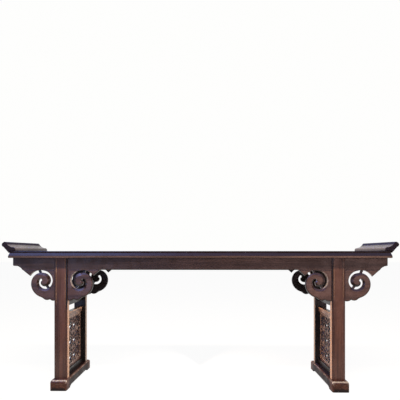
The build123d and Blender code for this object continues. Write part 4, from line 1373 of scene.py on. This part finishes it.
# %% Room
def make_room():
    """White to the camera, dim to diffuse light, and backdrop, ceiling and room to gloss."""
    room = bpy.data.worlds.new("room")
    bpy.context.scene.world = room
    room.use_nodes = True
    tree = room.node_tree
    tree.nodes.clear()
    way = node(tree, "SeparateXYZ", Vector=node(tree, "TexCoord").outputs["Generated"]).outputs
    to_left, to_right = spread(tree, way["X"], -0.1, -0.3), spread(tree, way["X"], 0.1, 0.3)
    sideways = sums(tree, "ABSOLUTE", way["X"], 0.0)
    beside = sums(tree, "MULTIPLY", spread(tree, sideways, 0.34, 0.41, 0.0, 0.8),
                  spread(tree, way["Z"], -0.03, -0.09))

    def across(left, middle, right):
        left_half = blended(tree, to_left, (*middle, 1), (*left, 1))
        return blended(tree, to_right, left_half, (*right, 1))

    dark = (0.02, 0.016, 0.016, 1)
    eye_level = across((1.1, 1.35, 2.4), (1.2, 0.83, 1.0), (2.6, 1.8, 1.8))
    eye_level = blended(tree, beside, eye_level, dark)
    ceiling = across((2.2, 2.5, 5.2), (1.2, 1.0, 1.8), (0.9, 0.9, 1.6))
    overhead = across((3.6, 5.6, 15.0), (1.4, 1.3, 2.4), (1.2, 1.2, 2.2))
    front = dark
    for start, end, zone in ((-0.22, -0.13, eye_level), (0.03, 0.08, dark), (0.30, 0.45, ceiling),
                             (0.58, 0.75, overhead)):
        front = blended(tree, spread(tree, way["Z"], start, end), front, zone)
    behind = sums(tree, "MULTIPLY", spread(tree, way["Y"], 0.0, 0.45),
                  spread(tree, way["Z"], 0.85, 0.6))
    path = node(tree, "LightPath").outputs
    white = sums(tree, "MAXIMUM", path["Is Camera Ray"], path["Is Transmission Ray"])
    white = sums(tree, "MULTIPLY_ADD", path["Is Glossy Ray"], behind, white)
    even = node(tree, "Background", Color=(0.9, 0.95, 1.0, 1), Strength=0.2)
    reflected = node(tree, "Background", Color=front, Strength=1.0)
    backdrop = node(tree, "Background", Color=(0.99, 0.99, 0.98, 1), Strength=1.0)
    mixed = node(tree, "MixShader", i0=path["Is Glossy Ray"], i1=even.outputs[0],
                 i2=reflected.outputs[0])
    mixed = node(tree, "MixShader", i0=white, i1=mixed.outputs[0], i2=backdrop.outputs[0])
    node(tree, "OutputWorld", Surface=mixed.outputs[0])
    print("room has", len(tree.nodes), "nodes")


make_room()


# %% Lamps
def lamp(name, place, target, size, power, colour):
    """A rectangular area lamp that faces its target and shows in no reflection."""
    data = bpy.data.lights.new(name, "AREA")
    data.shape = "RECTANGLE"
    data.size, data.size_y = size
    data.energy = power
    data.color = colour
    made = bpy.data.objects.new(name, data)
    made.location = place
    made.rotation_euler = (Vector(target) - Vector(place)).to_track_quat("-Z", "Y").to_euler()
    made.visible_camera = made.visible_glossy = False
    bpy.context.scene.collection.objects.link(made)
    print(name, power, "W")


lamp("high front lamp", (0, -2.0, 3.75), (0, 0, 0.4), (3.0, 0.3), 250, (1, 0.84, 0.66))
lamp("cool left fill", (-2.0, -3.2, 1.0), (-0.3, 0, 0.5), (2.0, 1.2), 12, (0.66, 0.86, 1.0))
lamp("warm right fill", (2.0, -3.2, 1.0), (0.3, 0, 0.5), (2.0, 1.2), 22, (1.0, 0.84, 0.8))
lamp("low lamp to the left", (0, 0.3, 0.3), (-0.85, -0.1, 0.3), (0.5, 0.4), 8, (1.0, 0.88, 0.78))
lamp("low lamp to the right", (0, 0.3, 0.3), (0.85, -0.1, 0.3), (0.5, 0.4), 9.3, (1.0, 0.66, 0.48))
bpy.context.scene.view_settings.view_transform = "Standard"
